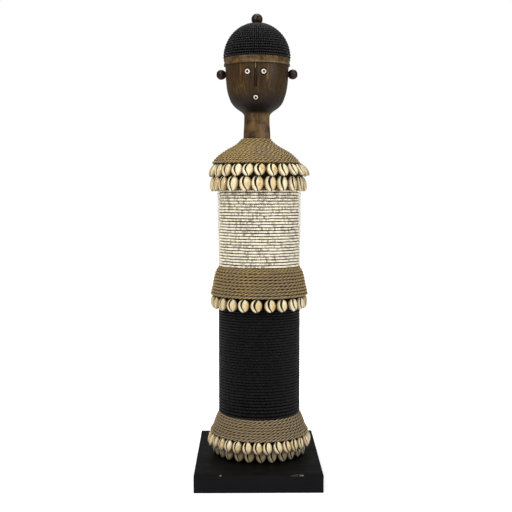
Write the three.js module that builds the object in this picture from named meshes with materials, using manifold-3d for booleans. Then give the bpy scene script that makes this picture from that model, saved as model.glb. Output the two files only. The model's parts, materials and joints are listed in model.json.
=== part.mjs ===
// A beaded fertility doll standing on a painted wooden plinth.
//
// Millimetres, +Z up, the doll looks along -Y. The origin is the middle of the plinth's underside.
// A turned wooden core carries a carved head, spiral windings of seed beads, three coils of sisal
// rope and five rows of cowrie shells. The single row under the belt hangs free, shell by shell.

import * as THREE from 'three';
import { mergeVertices } from 'three/addons/utils/BufferGeometryUtils.js';
import Module from 'manifold-3d';

const wasm = await Module();
wasm.setup();

// ---------------------------------------------------------------- driving dimensions

const TOTAL_HEIGHT = 600;
const GAP = 0.3;                 // clearance between pieces that rest on each other
const FINE_GAP = 0.15;           // the same for the small beads and nails of the face
const SIDES = 30;                // sides of a turned piece

const PLINTH = { width: 160, depth: 216, height: 22.6, corner: 1.5, bevel: 1 };
const BODY_X = 2.2;              // the body's axis, a little right of the plinth's middle
const NECK_X = -0.8;             // the neck's axis, let in a little left of the body's
const HEAD_TURN = -3.2;          // degrees about +Z, the face looks slightly to -X

const CORE = { radius: 50.4, bottom: PLINTH.height + GAP, top: 405.3 };
const BEAD_SLEEVE_RADIUS = 54;   // outside of the white and the black winding
const WINDING_INSIDE = CORE.radius + GAP;

const WHITE = { bottom: 271.5, top: 371.3 };
const BLACK = { bottom: 81, top: 234.6 };
const CAPE_TAPE = { bottom: 371.6, top: 404.9, radius: 55 };
const HEM_TAPE = { bottom: 23.3, top: 52, radius: 52.4 };

const TENON = { radius: 13, bottom: 394.6 };
const SHOULDER_TOP = 429.6;
const NECK_FOOT = { radius: 16.5, top: 440.9 };

const CAP = { radius: 44.1, height: 46.8, rim: 541.5, crown: 586.6, thickness: 3.3 };
const TOPKNOT = { radius: 7.4, centre: 592.5, hole: 2.2, peg: 1.9, pegBottom: 568 };
const EAR = { radius: 6.5, centre: 47.3, height: 521.5, hole: 2, peg: 1.7, pegStart: 28.6 };

const RING_BEAD = { radius: 3.6, hole: 1, thickness: 2.2 };
const RING_SEAT = { radius: 4.4, depth: 0.9 };
const NAIL = { shank: 0.7, head: 1.25, headThickness: 0.6, length: 12 };
const EYES = { height: 520.8, faceRadius: 40.7, spread: 14.5, tilt: 0 };
const MOUTH = { height: 489, faceRadius: 34.9, spread: 0, tilt: 20 };
const NOSE = { top: 531.4, bottom: 502.6, width: 2.8, bevel: 0.9 };

const SCREW = { shank: 2.2, head: 4.8, headThickness: 3.5, top: 52, offset: 26, bore: 2.6, counterbore: 5.6 };
const COUNTERBORE_DEPTH = 8;

const CORD_THICKNESS = 0.8;      // waxed thread that the shells hang on
const HOLE_DEPTH = 1.6;          // a sewn shell's hole below its top, where its row's thread goes through

// A row of cowries: how many, the first one's angle from the front, and where a shell's top hangs.
const CAPE_UPPER = { count: 25, first: 1.9, radius: 57.6, top: 404.4, tilt: 14, width: 13.2, length: 15.2, depth: 6 };
const CAPE_LOWER = { count: 23, first: -0.8, radius: 59.2, top: 389.1, tilt: 3, width: 14.3, length: 18.5, depth: 6.2 };
const BELT_ROW = { count: 23, first: -3.9, radius: 60.6, top: 232.8, tilt: 0, width: 14.4, length: 17.3, depth: 6.2 };
const HEM_UPPER = { count: 31, first: -3.2, radius: 63.2, top: 50.8, tilt: 13, width: 11.6, length: 15.8, depth: 5.6 };
const HEM_LOWER = { count: 26, first: 1.5, radius: 57.8, top: 40.8, tilt: 1, width: 12.4, length: 17.2, depth: 5.8 };

// The ring of thread that the belt's shells swing on.
const BELT_CORD = { radius: BELT_ROW.radius, height: 233.5 };

// Coils of rope, as the outlines [radius, height] of their outer face, bottom to top, and of the
// inner face, top to bottom. One turn of rope is about 3.9 mm thick.
const CAPE_OUTER = [
  [58.1, 405.6], [57.0, 409.0], [53.5, 413.0], [48.2, 418.0], [40.5, 423.1],
  [31.3, 428.3], [24.3, 433.5], [20.9, 438.0], [20.3, 440.6],
];
const CAPE_INNER = [
  [16.9, 440.6], [17.1, 436.8], [20.8, 431.6], [28.8, 425.2], [38.4, 419.8],
  [45.6, 415.0], [50.4, 410.4], [51.4, 407.5], [51.4, 405.6],
];
const BELT_OUTER = [
  [64.4, 234.2], [63.6, 240.0], [61.9, 247.5], [60.5, 255.0], [58.7, 262.4], [56.4, 267.9], [54.6, 271.1],
];
const BELT_INNER = [
  [50.9, 271.1], [52.9, 266.0], [54.9, 261.2], [56.6, 254.2], [58.0, 246.7], [59.8, 239.4], [60.5, 234.2],
];
const HEM_OUTER = [
  [65.4, 52.3], [64.3, 56.0], [61.6, 61.0], [59.9, 66.5], [58.0, 72.0], [56.0, 76.8], [54.4, 80.6],
];
const HEM_INNER = [
  [50.9, 80.6], [52.6, 75.2], [54.5, 70.4], [56.3, 65.2], [58.0, 60.0], [60.6, 54.8], [61.6, 52.3],
];

// ---------------------------------------------------------------- materials

const finish = (color, roughness, metalness = 0) =>
  new THREE.MeshStandardMaterial({ color, roughness, metalness });

const MATERIAL = {
  blackPaint: finish('#191a1c', 0.45),
  rawWood: finish('#8c6c45', 0.8),
  stainedWood: finish('#4a3621', 0.5),
  darkBead: finish('#2a1a12', 0.4),
  blackBeads: finish('#171717', 0.35),
  whiteBeads: finish('#ddd5bf', 0.35),
  sisal: finish('#83714f', 0.9),
  blackCloth: finish('#131110', 0.95),
  thread: finish('#1c1712', 0.85),
  cowrie: finish('#ccbf94', 0.3),
  paleCowrie: finish('#d6c89c', 0.3),
  steel: finish('#8d8f92', 0.4, 1),
  ringBead: finish('#efe9d8', 0.3),
  darkNail: finish('#1b1613', 0.45, 1),
};

// ---------------------------------------------------------------- making shapes

// A solid of revolution about Z. Its outline starts and ends on the axis, or closes on itself.
function turned(outline, sides = SIDES) {
  const points = outline.map(([radius, height]) => new THREE.Vector2(radius, height));
  return new THREE.LatheGeometry(points, sides).rotateX(Math.PI / 2);
}

// A ring-shaped solid between an outer outline going up and an inner one coming down.
function sleeve(outer, inner, sides = SIDES) {
  return turned([...outer, ...inner, outer[0]], sides);
}

// A plain tube wall.
function band(innerRadius, outerRadius, bottom, top, sides = SIDES) {
  return sleeve([[outerRadius, bottom], [outerRadius, top]], [[innerRadius, top], [innerRadius, bottom]], sides);
}

// A round rod along Z.
function rod(radius, bottom, top, sides = 12) {
  return turned([[0, bottom], [radius, bottom], [radius, top], [0, top]], sides);
}

// A wooden bead along Z with a drilled hole and flat ends, its middle at the origin.
function drilledBead(radius, hole, lowEnd, highEnd) {
  const outer = [];
  const steps = 6;
  const lowAngle = Math.asin(lowEnd / radius);
  const highAngle = Math.asin(highEnd / radius);
  for (let step = 0; step <= steps; step += 1) {
    const angle = THREE.MathUtils.lerp(lowAngle, highAngle, step / steps);
    outer.push([radius * Math.cos(angle), radius * Math.sin(angle)]);
  }
  return sleeve(outer, [[hole, highEnd], [hole, lowEnd]], 16);
}

// Points on the quarter ellipse of the cap or the skull, rim to crown.
function domeOutline(radius, height, rim, crown, steps = 7) {
  const outline = [];
  const lastAngle = Math.asin((crown - rim) / height);
  for (let step = 0; step <= steps; step += 1) {
    const angle = (lastAngle * step) / steps;
    outline.push([radius * Math.cos(angle), rim + height * Math.sin(angle)]);
  }
  return outline;
}

// ---------------------------------------------------------------- cutting and joining

function toSolid(geometry) {
  const bare = geometry.clone();
  bare.deleteAttribute('normal');
  bare.deleteAttribute('uv');
  const welded = mergeVertices(bare, 1e-4);
  const corners = [];
  for (let i = 0; i < welded.index.count; i += 3) {
    const [a, b, c] = [welded.index.getX(i), welded.index.getX(i + 1), welded.index.getX(i + 2)];
    if (a !== b && b !== c && c !== a) corners.push(a, b, c);
  }
  return new wasm.Manifold(new wasm.Mesh({
    numProp: 3,
    vertProperties: new Float32Array(welded.attributes.position.array),
    triVerts: new Uint32Array(corners),
  }));
}

function toGeometry(solid) {
  const mesh = solid.getMesh();
  const geometry = new THREE.BufferGeometry();
  geometry.setAttribute('position', new THREE.Float32BufferAttribute(mesh.vertProperties, 3));
  geometry.setIndex(Array.from(mesh.triVerts));
  geometry.computeVertexNormals();
  return geometry;
}

// A blank with pieces joined on and tools cut away.
function carve(blank, { add = [], cut = [] }) {
  let solid = toSolid(blank);
  for (const piece of add) solid = solid.add(toSolid(piece));
  for (const tool of cut) solid = solid.subtract(toSolid(tool));
  return toGeometry(solid);
}

// ---------------------------------------------------------------- the scene graph

const doll = new THREE.Group();

const body = new THREE.Group();
body.position.x = BODY_X;

const neckAxis = new THREE.Group();
neckAxis.position.x = NECK_X;

const head = new THREE.Group();
head.position.x = NECK_X;
head.rotation.z = THREE.MathUtils.degToRad(HEAD_TURN);

doll.add(body, neckAxis, head);

function place(parent, name, geometry, material) {
  const mesh = new THREE.Mesh(geometry, material);
  mesh.name = name;
  parent.add(mesh);
  return mesh;
}

// ---------------------------------------------------------------- plinth and its screws

function plinthBlock() {
  const { width, depth, height, corner, bevel } = PLINTH;
  const halfX = width / 2 - bevel;
  const halfY = depth / 2 - bevel;
  const outline = new THREE.Shape();
  outline.moveTo(-halfX + corner, -halfY);
  outline.lineTo(halfX - corner, -halfY);
  outline.quadraticCurveTo(halfX, -halfY, halfX, -halfY + corner);
  outline.lineTo(halfX, halfY - corner);
  outline.quadraticCurveTo(halfX, halfY, halfX - corner, halfY);
  outline.lineTo(-halfX + corner, halfY);
  outline.quadraticCurveTo(-halfX, halfY, -halfX, halfY - corner);
  outline.lineTo(-halfX, -halfY + corner);
  outline.quadraticCurveTo(-halfX, -halfY, -halfX + corner, -halfY);
  const block = new THREE.ExtrudeGeometry(outline, {
    depth: height - 2 * bevel,
    bevelSize: bevel,
    bevelThickness: bevel,
    bevelSegments: 1,
    curveSegments: 3,
  });
  return block.translate(0, 0, bevel);
}

const screwPlaces = [-SCREW.offset, SCREW.offset];

const plinthHoles = screwPlaces.flatMap((y) => [
  rod(SCREW.bore, -1, PLINTH.height + 1).translate(BODY_X, y, 0),
  rod(SCREW.counterbore, -1, COUNTERBORE_DEPTH, 20).translate(BODY_X, y, 0),
]);
place(doll, 'plinth', carve(plinthBlock(), { cut: plinthHoles }), MATERIAL.blackPaint);

function woodScrew() {
  const underHead = COUNTERBORE_DEPTH - GAP;
  return turned([
    [0, underHead - SCREW.headThickness],
    [SCREW.head, underHead - SCREW.headThickness],
    [SCREW.head, underHead],
    [SCREW.shank, underHead],
    [SCREW.shank, SCREW.top - 4],
    [0, SCREW.top],
  ], 12);
}
['front', 'back'].forEach((end, index) => {
  place(body, `mounting_screw_${end}`, woodScrew(), MATERIAL.steel).position.y = screwPlaces[index];
});

// ---------------------------------------------------------------- wooden core

function bodyCore() {
  const cylinder = rod(CORE.radius, CORE.bottom, CORE.top, SIDES);
  const shoulder = turned([
    [0, 396], [46, 396], [46, 405], [51, 405.6], [51, 407.4], [50, 410.1], [45.3, 414.7],
    [38.2, 419.5], [28.5, 424.9], [22.6, SHOULDER_TOP], [0, SHOULDER_TOP],
  ]).translate(NECK_X - BODY_X, 0, 0);
  const mortise = rod(TENON.radius + GAP, TENON.bottom - 0.6, SHOULDER_TOP + 1, 24);
  mortise.translate(NECK_X - BODY_X, 0, 0);
  const pilotHoles = screwPlaces.map((y) =>
    rod(SCREW.shank + GAP, CORE.bottom - 1, SCREW.top + 1).translate(0, y, 0));
  return carve(cylinder, { add: [shoulder], cut: [mortise, ...pilotHoles] });
}
place(body, 'body_core', bodyCore(), MATERIAL.rawWood);

// ---------------------------------------------------------------- bead windings, wraps and rope

place(body, 'white_bead_winding',
  band(WINDING_INSIDE, BEAD_SLEEVE_RADIUS + GAP, WHITE.bottom, WHITE.top), MATERIAL.whiteBeads);
place(body, 'black_bead_winding',
  band(WINDING_INSIDE, BEAD_SLEEVE_RADIUS, BLACK.bottom, BLACK.top), MATERIAL.blackBeads);
place(body, 'cape_shell_tape',
  band(WINDING_INSIDE, CAPE_TAPE.radius, CAPE_TAPE.bottom, CAPE_TAPE.top), MATERIAL.blackCloth);
place(body, 'hem_shell_tape',
  band(WINDING_INSIDE, HEM_TAPE.radius, HEM_TAPE.bottom, HEM_TAPE.top), MATERIAL.blackCloth);

// The wedge of cloth under a flared coil of rope: its outer face follows the rope's inner one.
function underwrap(ropeInner, bottom) {
  const flare = ropeInner.slice(1, -1).reverse();
  const outer = flare.map(([radius, height]) => [radius - GAP, height]);
  const [lowRadius] = ropeInner.at(-1);
  outer.unshift([lowRadius - GAP, bottom]);
  const top = outer.at(-1)[1];
  return sleeve(outer, [[WINDING_INSIDE, top], [WINDING_INSIDE, bottom]]);
}
place(body, 'belt_underwrap', underwrap(BELT_INNER, 235.1), MATERIAL.blackCloth);
place(body, 'hem_underwrap', underwrap(HEM_INNER, 53), MATERIAL.blackCloth);

place(neckAxis, 'cape_rope', sleeve(CAPE_OUTER, CAPE_INNER), MATERIAL.sisal);
place(body, 'belt_rope', sleeve(BELT_OUTER, BELT_INNER), MATERIAL.sisal);
place(body, 'hem_rope', sleeve(HEM_OUTER, HEM_INNER), MATERIAL.sisal);

// ---------------------------------------------------------------- cowries and their threads

// A ring of three-sided thread with a corner at each shell of its row.
function threadRing(row, radius, height) {
  const half = CORD_THICKNESS / 2;
  const outer = [[radius + half, height - half], [radius, height + half]];
  return sleeve(outer, [[radius - half, height - half]], row.count).rotateZ(THREE.MathUtils.degToRad(row.first));
}
place(body, 'belt_shell_cord', threadRing(BELT_ROW, BELT_CORD.radius, BELT_CORD.height), MATERIAL.thread);

// One cowrie hanging down from the origin: X across it, Y its thickness, Z its length.
function cowrie({ width, length, depth }, around, along) {
  const flatFace = Math.cos(Math.PI / around);
  const shell = new THREE.SphereGeometry(0.5, around, along).rotateX(Math.PI / 2);
  return shell.scale(width, depth / flatFace, length).translate(0, 0, -length / 2);
}

// Where shell number `index` of a row hangs. Its outer face looks away from the axis.
function shellPose(row, index) {
  const turn = THREE.MathUtils.degToRad(row.first + (360 * index) / row.count);
  const position = new THREE.Vector3(row.radius * Math.sin(turn), -row.radius * Math.cos(turn), row.top);
  const rotation = new THREE.Euler(THREE.MathUtils.degToRad(row.tilt), 0, turn + Math.PI, 'ZXY');
  return { position, rotation };
}

// A row whose shells are sewn down, joined by the thread through the holes in their tops.
function sewnRow(row) {
  const tilt = THREE.MathUtils.degToRad(row.tilt);
  const thread = threadRing(
    row, row.radius + HOLE_DEPTH * Math.sin(tilt), row.top - HOLE_DEPTH * Math.cos(tilt));
  const shells = [];
  for (let index = 0; index < row.count; index += 1) {
    const { position, rotation } = shellPose(row, index);
    const upright = new THREE.Quaternion().setFromEuler(rotation);
    const pose = new THREE.Matrix4().compose(position, upright, new THREE.Vector3(1, 1, 1));
    shells.push(cowrie(row, 6, 3).applyMatrix4(pose));
  }
  return carve(thread, { add: shells });
}
place(body, 'cape_upper_cowries', sewnRow(CAPE_UPPER), MATERIAL.paleCowrie);
place(body, 'cape_lower_cowries', sewnRow(CAPE_LOWER), MATERIAL.cowrie);
place(body, 'hem_upper_cowries', sewnRow(HEM_UPPER), MATERIAL.cowrie);
place(body, 'hem_lower_cowries', sewnRow(HEM_LOWER), MATERIAL.cowrie);

for (let index = 0; index < BELT_ROW.count; index += 1) {
  const number = String(index + 1).padStart(2, '0');
  const shell = place(body, `belt_cowrie_${number}`, cowrie(BELT_ROW, 8, 4), MATERIAL.paleCowrie);
  const { position, rotation } = shellPose(BELT_ROW, index);
  shell.position.copy(position);
  shell.rotation.copy(rotation);
}

// ---------------------------------------------------------------- head and neck

// Turns a tool made along +Z so that it points out of the face at a feature's place.
function onFace(tool, feature, side = 0) {
  const turn = THREE.MathUtils.degToRad(feature.spread * side);
  const tilt = THREE.MathUtils.degToRad(feature.tilt);
  return tool
    .rotateX(Math.PI / 2 + tilt)
    .translate(0, -feature.faceRadius, feature.height)
    .rotateZ(turn);
}

const faceFeatures = [[EYES, -1], [EYES, 1], [MOUTH, 0]];

function noseRidge() {
  const { top, bottom, width, bevel } = NOSE;
  const side = new THREE.Shape([
    new THREE.Vector2(-37, bottom + bevel),
    new THREE.Vector2(-37, top - bevel),
    new THREE.Vector2(-41.4, top - bevel),
    new THREE.Vector2(-41.3, bottom + 5),
    new THREE.Vector2(-40.6, bottom + bevel),
  ]);
  const ridge = new THREE.ExtrudeGeometry(side, {
    depth: width, bevelSize: bevel, bevelThickness: bevel, bevelSegments: 1,
  });
  // The outline's (x, y) becomes (Y, Z) and the extrusion runs along X.
  const toYZ = new THREE.Matrix4().makeBasis(
    new THREE.Vector3(0, 1, 0), new THREE.Vector3(0, 0, 1), new THREE.Vector3(1, 0, 0));
  return ridge.translate(0, 0, -width / 2).applyMatrix4(toYZ);
}

function headAndNeck() {
  const skull = domeOutline(
    CAP.radius - CAP.thickness - GAP, CAP.height - CAP.thickness - GAP, CAP.rim - GAP,
    CAP.crown - CAP.thickness - GAP, 6);
  const blank = turned([
    [0, TENON.bottom], [TENON.radius, TENON.bottom],
    [TENON.radius, SHOULDER_TOP + GAP], [NECK_FOOT.radius, SHOULDER_TOP + GAP],
    [NECK_FOOT.radius, NECK_FOOT.top], [19, NECK_FOOT.top + GAP],
    [18.4, 446.5], [17.5, 456], [17.5, 467], [20.1, 472.5], [27.1, 477.7], [32.0, 483],
    [35.4, 488], [38.3, 498.4], [40.0, 508.7], [40.9, 520], [41.3, 531.5],
    [42.9, 532], [43.1, 534.2], [42.6, 536.8], [43.2, 539.4], [43.0, CAP.rim - GAP],
    ...skull,
    [0, skull.at(-1)[1]],
  ]);
  const seats = faceFeatures.flatMap(([feature, side]) => [
    onFace(rod(RING_SEAT.radius, -RING_SEAT.depth, 4, 16), feature, side),
    onFace(rod(NAIL.shank + FINE_GAP, -NAIL.length, 1, 8), feature, side),
  ]);
  const earHoles = [-1, 1].map((side) =>
    rod(EAR.hole, EAR.pegStart - GAP, 60, 12).rotateY((side * Math.PI) / 2).translate(0, 0, EAR.height));
  const crownHole = rod(TOPKNOT.hole, TOPKNOT.pegBottom - GAP, TOTAL_HEIGHT, 12);
  return carve(blank, { add: [noseRidge()], cut: [...seats, ...earHoles, crownHole] });
}
place(head, 'head_and_neck', headAndNeck(), MATERIAL.stainedWood);

// ---------------------------------------------------------------- cap and topknot

function capWinding() {
  const outer = domeOutline(CAP.radius, CAP.height, CAP.rim, CAP.crown, 8);
  const inner = domeOutline(
    CAP.radius - CAP.thickness, CAP.height - CAP.thickness, CAP.rim, CAP.crown - CAP.thickness, 6);
  outer.push([TOPKNOT.hole, CAP.crown]);
  inner.push([TOPKNOT.hole, CAP.crown - CAP.thickness]);
  return sleeve(outer, inner.reverse());
}
place(head, 'cap_bead_winding', capWinding(), MATERIAL.blackBeads);

const topknotLow = CAP.crown + GAP - TOPKNOT.centre;
const topknotHigh = Math.sqrt(TOPKNOT.radius ** 2 - TOPKNOT.hole ** 2);
const topknot = drilledBead(TOPKNOT.radius, TOPKNOT.hole, topknotLow, topknotHigh);
place(head, 'topknot_bead', topknot, MATERIAL.darkBead).position.z = TOPKNOT.centre;
place(head, 'topknot_peg', rod(TOPKNOT.peg, TOPKNOT.pegBottom, TOTAL_HEIGHT), MATERIAL.rawWood);

// ---------------------------------------------------------------- ears

for (const [sideName, side] of [['left', -1], ['right', 1]]) {
  const highEnd = Math.sqrt(EAR.radius ** 2 - EAR.hole ** 2);
  const bead = drilledBead(EAR.radius, EAR.hole, -5.9, highEnd).rotateY((side * Math.PI) / 2);
  const beadMesh = place(head, `ear_bead_${sideName}`, bead, MATERIAL.darkBead);
  beadMesh.position.set(side * EAR.centre, 0, EAR.height);
  const pegEnd = EAR.centre + highEnd + GAP;
  const peg = rod(EAR.peg, EAR.pegStart, pegEnd).rotateY((side * Math.PI) / 2);
  place(head, `ear_peg_${sideName}`, peg, MATERIAL.darkBead).position.z = EAR.height;
}

// ---------------------------------------------------------------- eyes and mouth

function ringBead() {
  const { radius, hole, thickness } = RING_BEAD;
  const round = thickness * 0.3;
  const outer = [[radius - round, 0], [radius, round], [radius, thickness - round], [radius - round, thickness]];
  const ring = sleeve(outer, [[hole, thickness], [hole, 0]], 16);
  return ring.translate(0, 0, FINE_GAP - RING_SEAT.depth);
}

function nail() {
  const underHead = RING_BEAD.thickness - RING_SEAT.depth + 2 * FINE_GAP;
  return turned([
    [0, -NAIL.length + 1], [NAIL.shank, -NAIL.length + 2],
    [NAIL.shank, underHead], [NAIL.head, underHead],
    [NAIL.head, underHead + NAIL.headThickness / 2], [0, underHead + NAIL.headThickness],
  ], 10);
}

const faceNames = ['eye_bead_left', 'eye_bead_right', 'mouth_bead'];
faceFeatures.forEach(([feature, side], index) => {
  place(head, faceNames[index], onFace(ringBead(), feature, side), MATERIAL.ringBead);
  const nailName = faceNames[index].replace('bead', 'nail');
  place(head, nailName, onFace(nail(), feature, side), MATERIAL.darkNail);
});

export default doll;
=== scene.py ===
"""Looks of a beaded fertility doll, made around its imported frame.

Lengths are metres, +Z is up and the doll faces -Y. Sizes and colours that a user would change are
properties of the scene; places come from the frame.
"""

import json
import math
import random

import bmesh
import bpy
from bpy.props import FloatProperty, FloatVectorProperty, IntProperty, PointerProperty
from mathutils import Matrix, Vector, noise

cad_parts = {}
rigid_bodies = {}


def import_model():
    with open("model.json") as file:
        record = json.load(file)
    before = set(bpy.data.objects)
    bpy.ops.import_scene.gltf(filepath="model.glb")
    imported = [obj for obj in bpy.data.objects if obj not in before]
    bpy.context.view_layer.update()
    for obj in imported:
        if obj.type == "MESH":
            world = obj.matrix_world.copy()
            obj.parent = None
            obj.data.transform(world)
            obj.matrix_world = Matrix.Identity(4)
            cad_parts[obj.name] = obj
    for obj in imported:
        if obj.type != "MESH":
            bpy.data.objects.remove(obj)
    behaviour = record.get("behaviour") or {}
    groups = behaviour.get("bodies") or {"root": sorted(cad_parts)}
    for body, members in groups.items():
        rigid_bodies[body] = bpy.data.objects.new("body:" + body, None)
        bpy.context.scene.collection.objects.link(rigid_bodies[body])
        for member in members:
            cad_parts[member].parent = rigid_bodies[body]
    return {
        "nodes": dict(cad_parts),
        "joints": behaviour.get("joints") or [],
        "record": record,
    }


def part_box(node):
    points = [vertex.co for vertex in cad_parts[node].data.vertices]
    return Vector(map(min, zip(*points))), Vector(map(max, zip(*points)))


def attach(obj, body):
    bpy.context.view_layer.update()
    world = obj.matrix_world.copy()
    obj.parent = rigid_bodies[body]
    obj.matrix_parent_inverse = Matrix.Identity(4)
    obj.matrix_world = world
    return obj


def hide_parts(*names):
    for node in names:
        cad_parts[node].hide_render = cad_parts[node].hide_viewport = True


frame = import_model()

bl_info = {
    "name": "Fertility Doll Maker",
    "version": (1, 0, 0),
    "blender": (4, 5, 0),
    "location": "View3D > Sidebar > Doll",
    "description": "Makes a beaded doll with rope coils and cowrie shells around its packed frame",
    "category": "Add Mesh",
}

MM = 0.001
TURN = 2 * math.pi


# ------------------------------------------------------------------ places taken from the frame


def middle(node):
    """The middle of a CAD node's box."""
    low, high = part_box(node)
    return (low + high) / 2


def outer_radius(node):
    """The radius of a round CAD node that stands upright."""
    low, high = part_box(node)
    return (high - low).y / 2


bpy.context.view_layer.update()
DOLL = "doll"
BODY_AXIS = middle("black_bead_winding").x
NECK_AXIS = middle("cape_rope").x
BELT_SHELLS = sorted(name for name in frame["nodes"] if name.startswith("belt_cowrie_"))
EYES_MIDDLE = (middle("eye_bead_left") + middle("eye_bead_right")) / 2
HEAD_TURN = math.atan2(EYES_MIDDLE.x - NECK_AXIS, -EYES_MIDDLE.y)
HEM_SAG = -4.2 * MM   # how far the hem's top row hangs lower in front
HEAD_PLACE = Matrix.Translation((NECK_AXIS, 0, 0)) @ Matrix.Rotation(HEAD_TURN, 4, "Z")


def in_metres(points):
    """Points given in millimetres."""
    return [(radius * MM, height * MM) for radius, height in points]


def from_srgb(red, green, blue):
    """A screen colour from 0 to 255 as the linear colour that materials use."""
    def linear(value):
        share = value / 255
        return share / 12.92 if share <= 0.04045 else ((share + 0.055) / 1.055) ** 2.4
    return (linear(red), linear(green), linear(blue))


def dimmed(tone, factor):
    """A linear colour times a number."""
    return tuple(min(1.0, channel * factor) for channel in tone)


# ------------------------------------------------------------------ sizes and colours


def length(label, about, millimetres):
    """A length that a user may change."""
    return FloatProperty(name=label, description=about, default=millimetres * MM, unit="LENGTH", precision=4)


def colour(label, about, red, green, blue):
    """A colour that a user may change."""
    return FloatVectorProperty(
        name=label, description=about, default=from_srgb(red, green, blue), subtype="COLOR", min=0, max=1)


class DollBeadSizes(bpy.types.PropertyGroup):
    """Sizes of the threaded seed beads."""

    diameter: length("Bead diameter", "Across a black seed bead, square to its thread", 2.95)
    white_diameter: length("White bead diameter", "Across a white seed bead, square to its thread", 3.0)
    thickness: length("Bead thickness", "Along a seed bead's thread", 2.2)
    spacing: length("Bead spacing", "From one bead to the next on the thread", 2.32)
    white_pitch: length("White row pitch", "From one white row to the next", 3.7)
    black_pitch: length("Black row pitch", "From one black row to the next", 3.6)
    cap_pitch: length("Cap row pitch", "From one row of the cap to the next", 3.42)
    wobble: length("Row wobble", "How far a row strays up or down", 0.8)


class DollRopeSizes(bpy.types.PropertyGroup):
    """Sizes of the two-ply rope."""

    diameter: length("Rope diameter", "Across both plies", 3.4)
    pitch: length("Rope pitch", "From one turn of a coil to the next", 3.8)
    lay: length("Rope lay", "Length in which a ply goes once round the rope", 12.4)
    thread_diameter: length("Thread diameter", "Across the waxed thread of the shells", 0.8)


class DollShellSizes(bpy.types.PropertyGroup):
    """How the cowries vary."""

    variants: IntProperty(name="Variants", description="How many kinds of shell there are", default=7, min=1)
    slit: length("Slit width", "Across the shell's opening at its middle", 2.7)
    lean: FloatProperty(
        name="Lean", description="How far a shell leans or turns on its thread",
        default=math.radians(5), subtype="ANGLE")


class DollFinishes(bpy.types.PropertyGroup):
    """Colours of the finishes."""

    black_beads: colour("Black beads", "Glossy black glass", 6, 6, 7)
    white_beads: colour("White beads", "Glossy off-white glass", 246, 238, 218)
    sisal: colour("Sisal", "Natural rope", 192, 165, 112)
    sisal_shade: colour("Sisal shade", "Darker fibres of the rope", 112, 91, 57)
    wood: colour("Stained wood", "Dark stain of the head", 47, 33, 15)
    wood_light: colour("Worn wood", "Where the stain is thin", 86, 62, 33)
    band: colour("Brow band", "Lighter band round the brow", 112, 86, 50)
    bead_wood: colour("Bead wood", "Dark wooden beads", 24, 17, 12)
    raw_wood: colour("Raw wood", "Unfinished wood inside", 140, 108, 69)
    ivory: colour("Shell ivory", "Pale lip of a cowrie", 236, 222, 184)
    tan: colour("Shell tan", "Broad lip of a cowrie", 202, 166, 98)
    paint: colour("Plinth paint", "Black paint of the plinth", 17, 17, 19)


class DollStageSizes(bpy.types.PropertyGroup):
    """Camera and lights."""

    camera_distance: length("Camera distance", "From the doll's axis to the camera", 1224.2)
    camera_side: length("Camera side shift", "How far the camera stands to the left", 16.0)
    camera_height: length("Camera height", "Height of the camera above the floor", 369.4)
    camera_down: FloatProperty(
        name="Camera pitch", description="How far the camera looks down",
        default=math.radians(3.97), subtype="ANGLE")
    camera_right: FloatProperty(
        name="Camera turn", description="How far the camera looks to the right",
        default=math.radians(0.653), subtype="ANGLE")
    focal_length: FloatProperty(
        name="Focal length", description="In mm, for a sensor 36 mm wide", default=65.28)


# ------------------------------------------------------------------ node sheets


def wire(tree, kind, sockets=None, **settings):
    """Adds a node. A socket's value is a number, a colour or another node's output."""
    node = tree.nodes.new(kind)
    for name, value in settings.items():
        setattr(node, name, value)
    for key, value in (sockets or {}).items():
        if isinstance(value, bpy.types.NodeSocket):
            tree.links.new(value, node.inputs[key])
        else:
            node.inputs[key].default_value = value
    return node


def out(tree, kind, sockets=None, **settings):
    """The first output of a new node."""
    return wire(tree, kind, sockets, **settings).outputs[0]


def calc(tree, operation, *values):
    """The output of one Math node."""
    return out(tree, "ShaderNodeMath", dict(enumerate(values)), operation=operation)


def times(tree, first, second):
    """The product of two numbers."""
    return calc(tree, "MULTIPLY", first, second)


def plus(tree, first, second):
    """The sum of two numbers."""
    return calc(tree, "ADD", first, second)


def xyz(tree, x=0.0, y=0.0, z=0.0):
    """A vector from three numbers."""
    return out(tree, "ShaderNodeCombineXYZ", {0: x, 1: y, 2: z})


def vector_calc(tree, operation, first, second):
    """The output of one Vector Math node on two vectors."""
    return out(tree, "ShaderNodeVectorMath", {0: first, 1: second}, operation=operation)


def scaled(tree, vector, factor):
    """A vector times a number."""
    return out(tree, "ShaderNodeVectorMath", {0: vector, 3: factor}, operation="SCALE")


def remap(tree, value, low, high, to_low=0.0, to_high=1.0):
    """A value spread from one range to another, and held inside it."""
    sockets = {0: value, 1: low, 2: high, 3: to_low, 4: to_high}
    return out(tree, "ShaderNodeMapRange", sockets, interpolation_type="SMOOTHSTEP")


# ------------------------------------------------------------------ finishes


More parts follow.
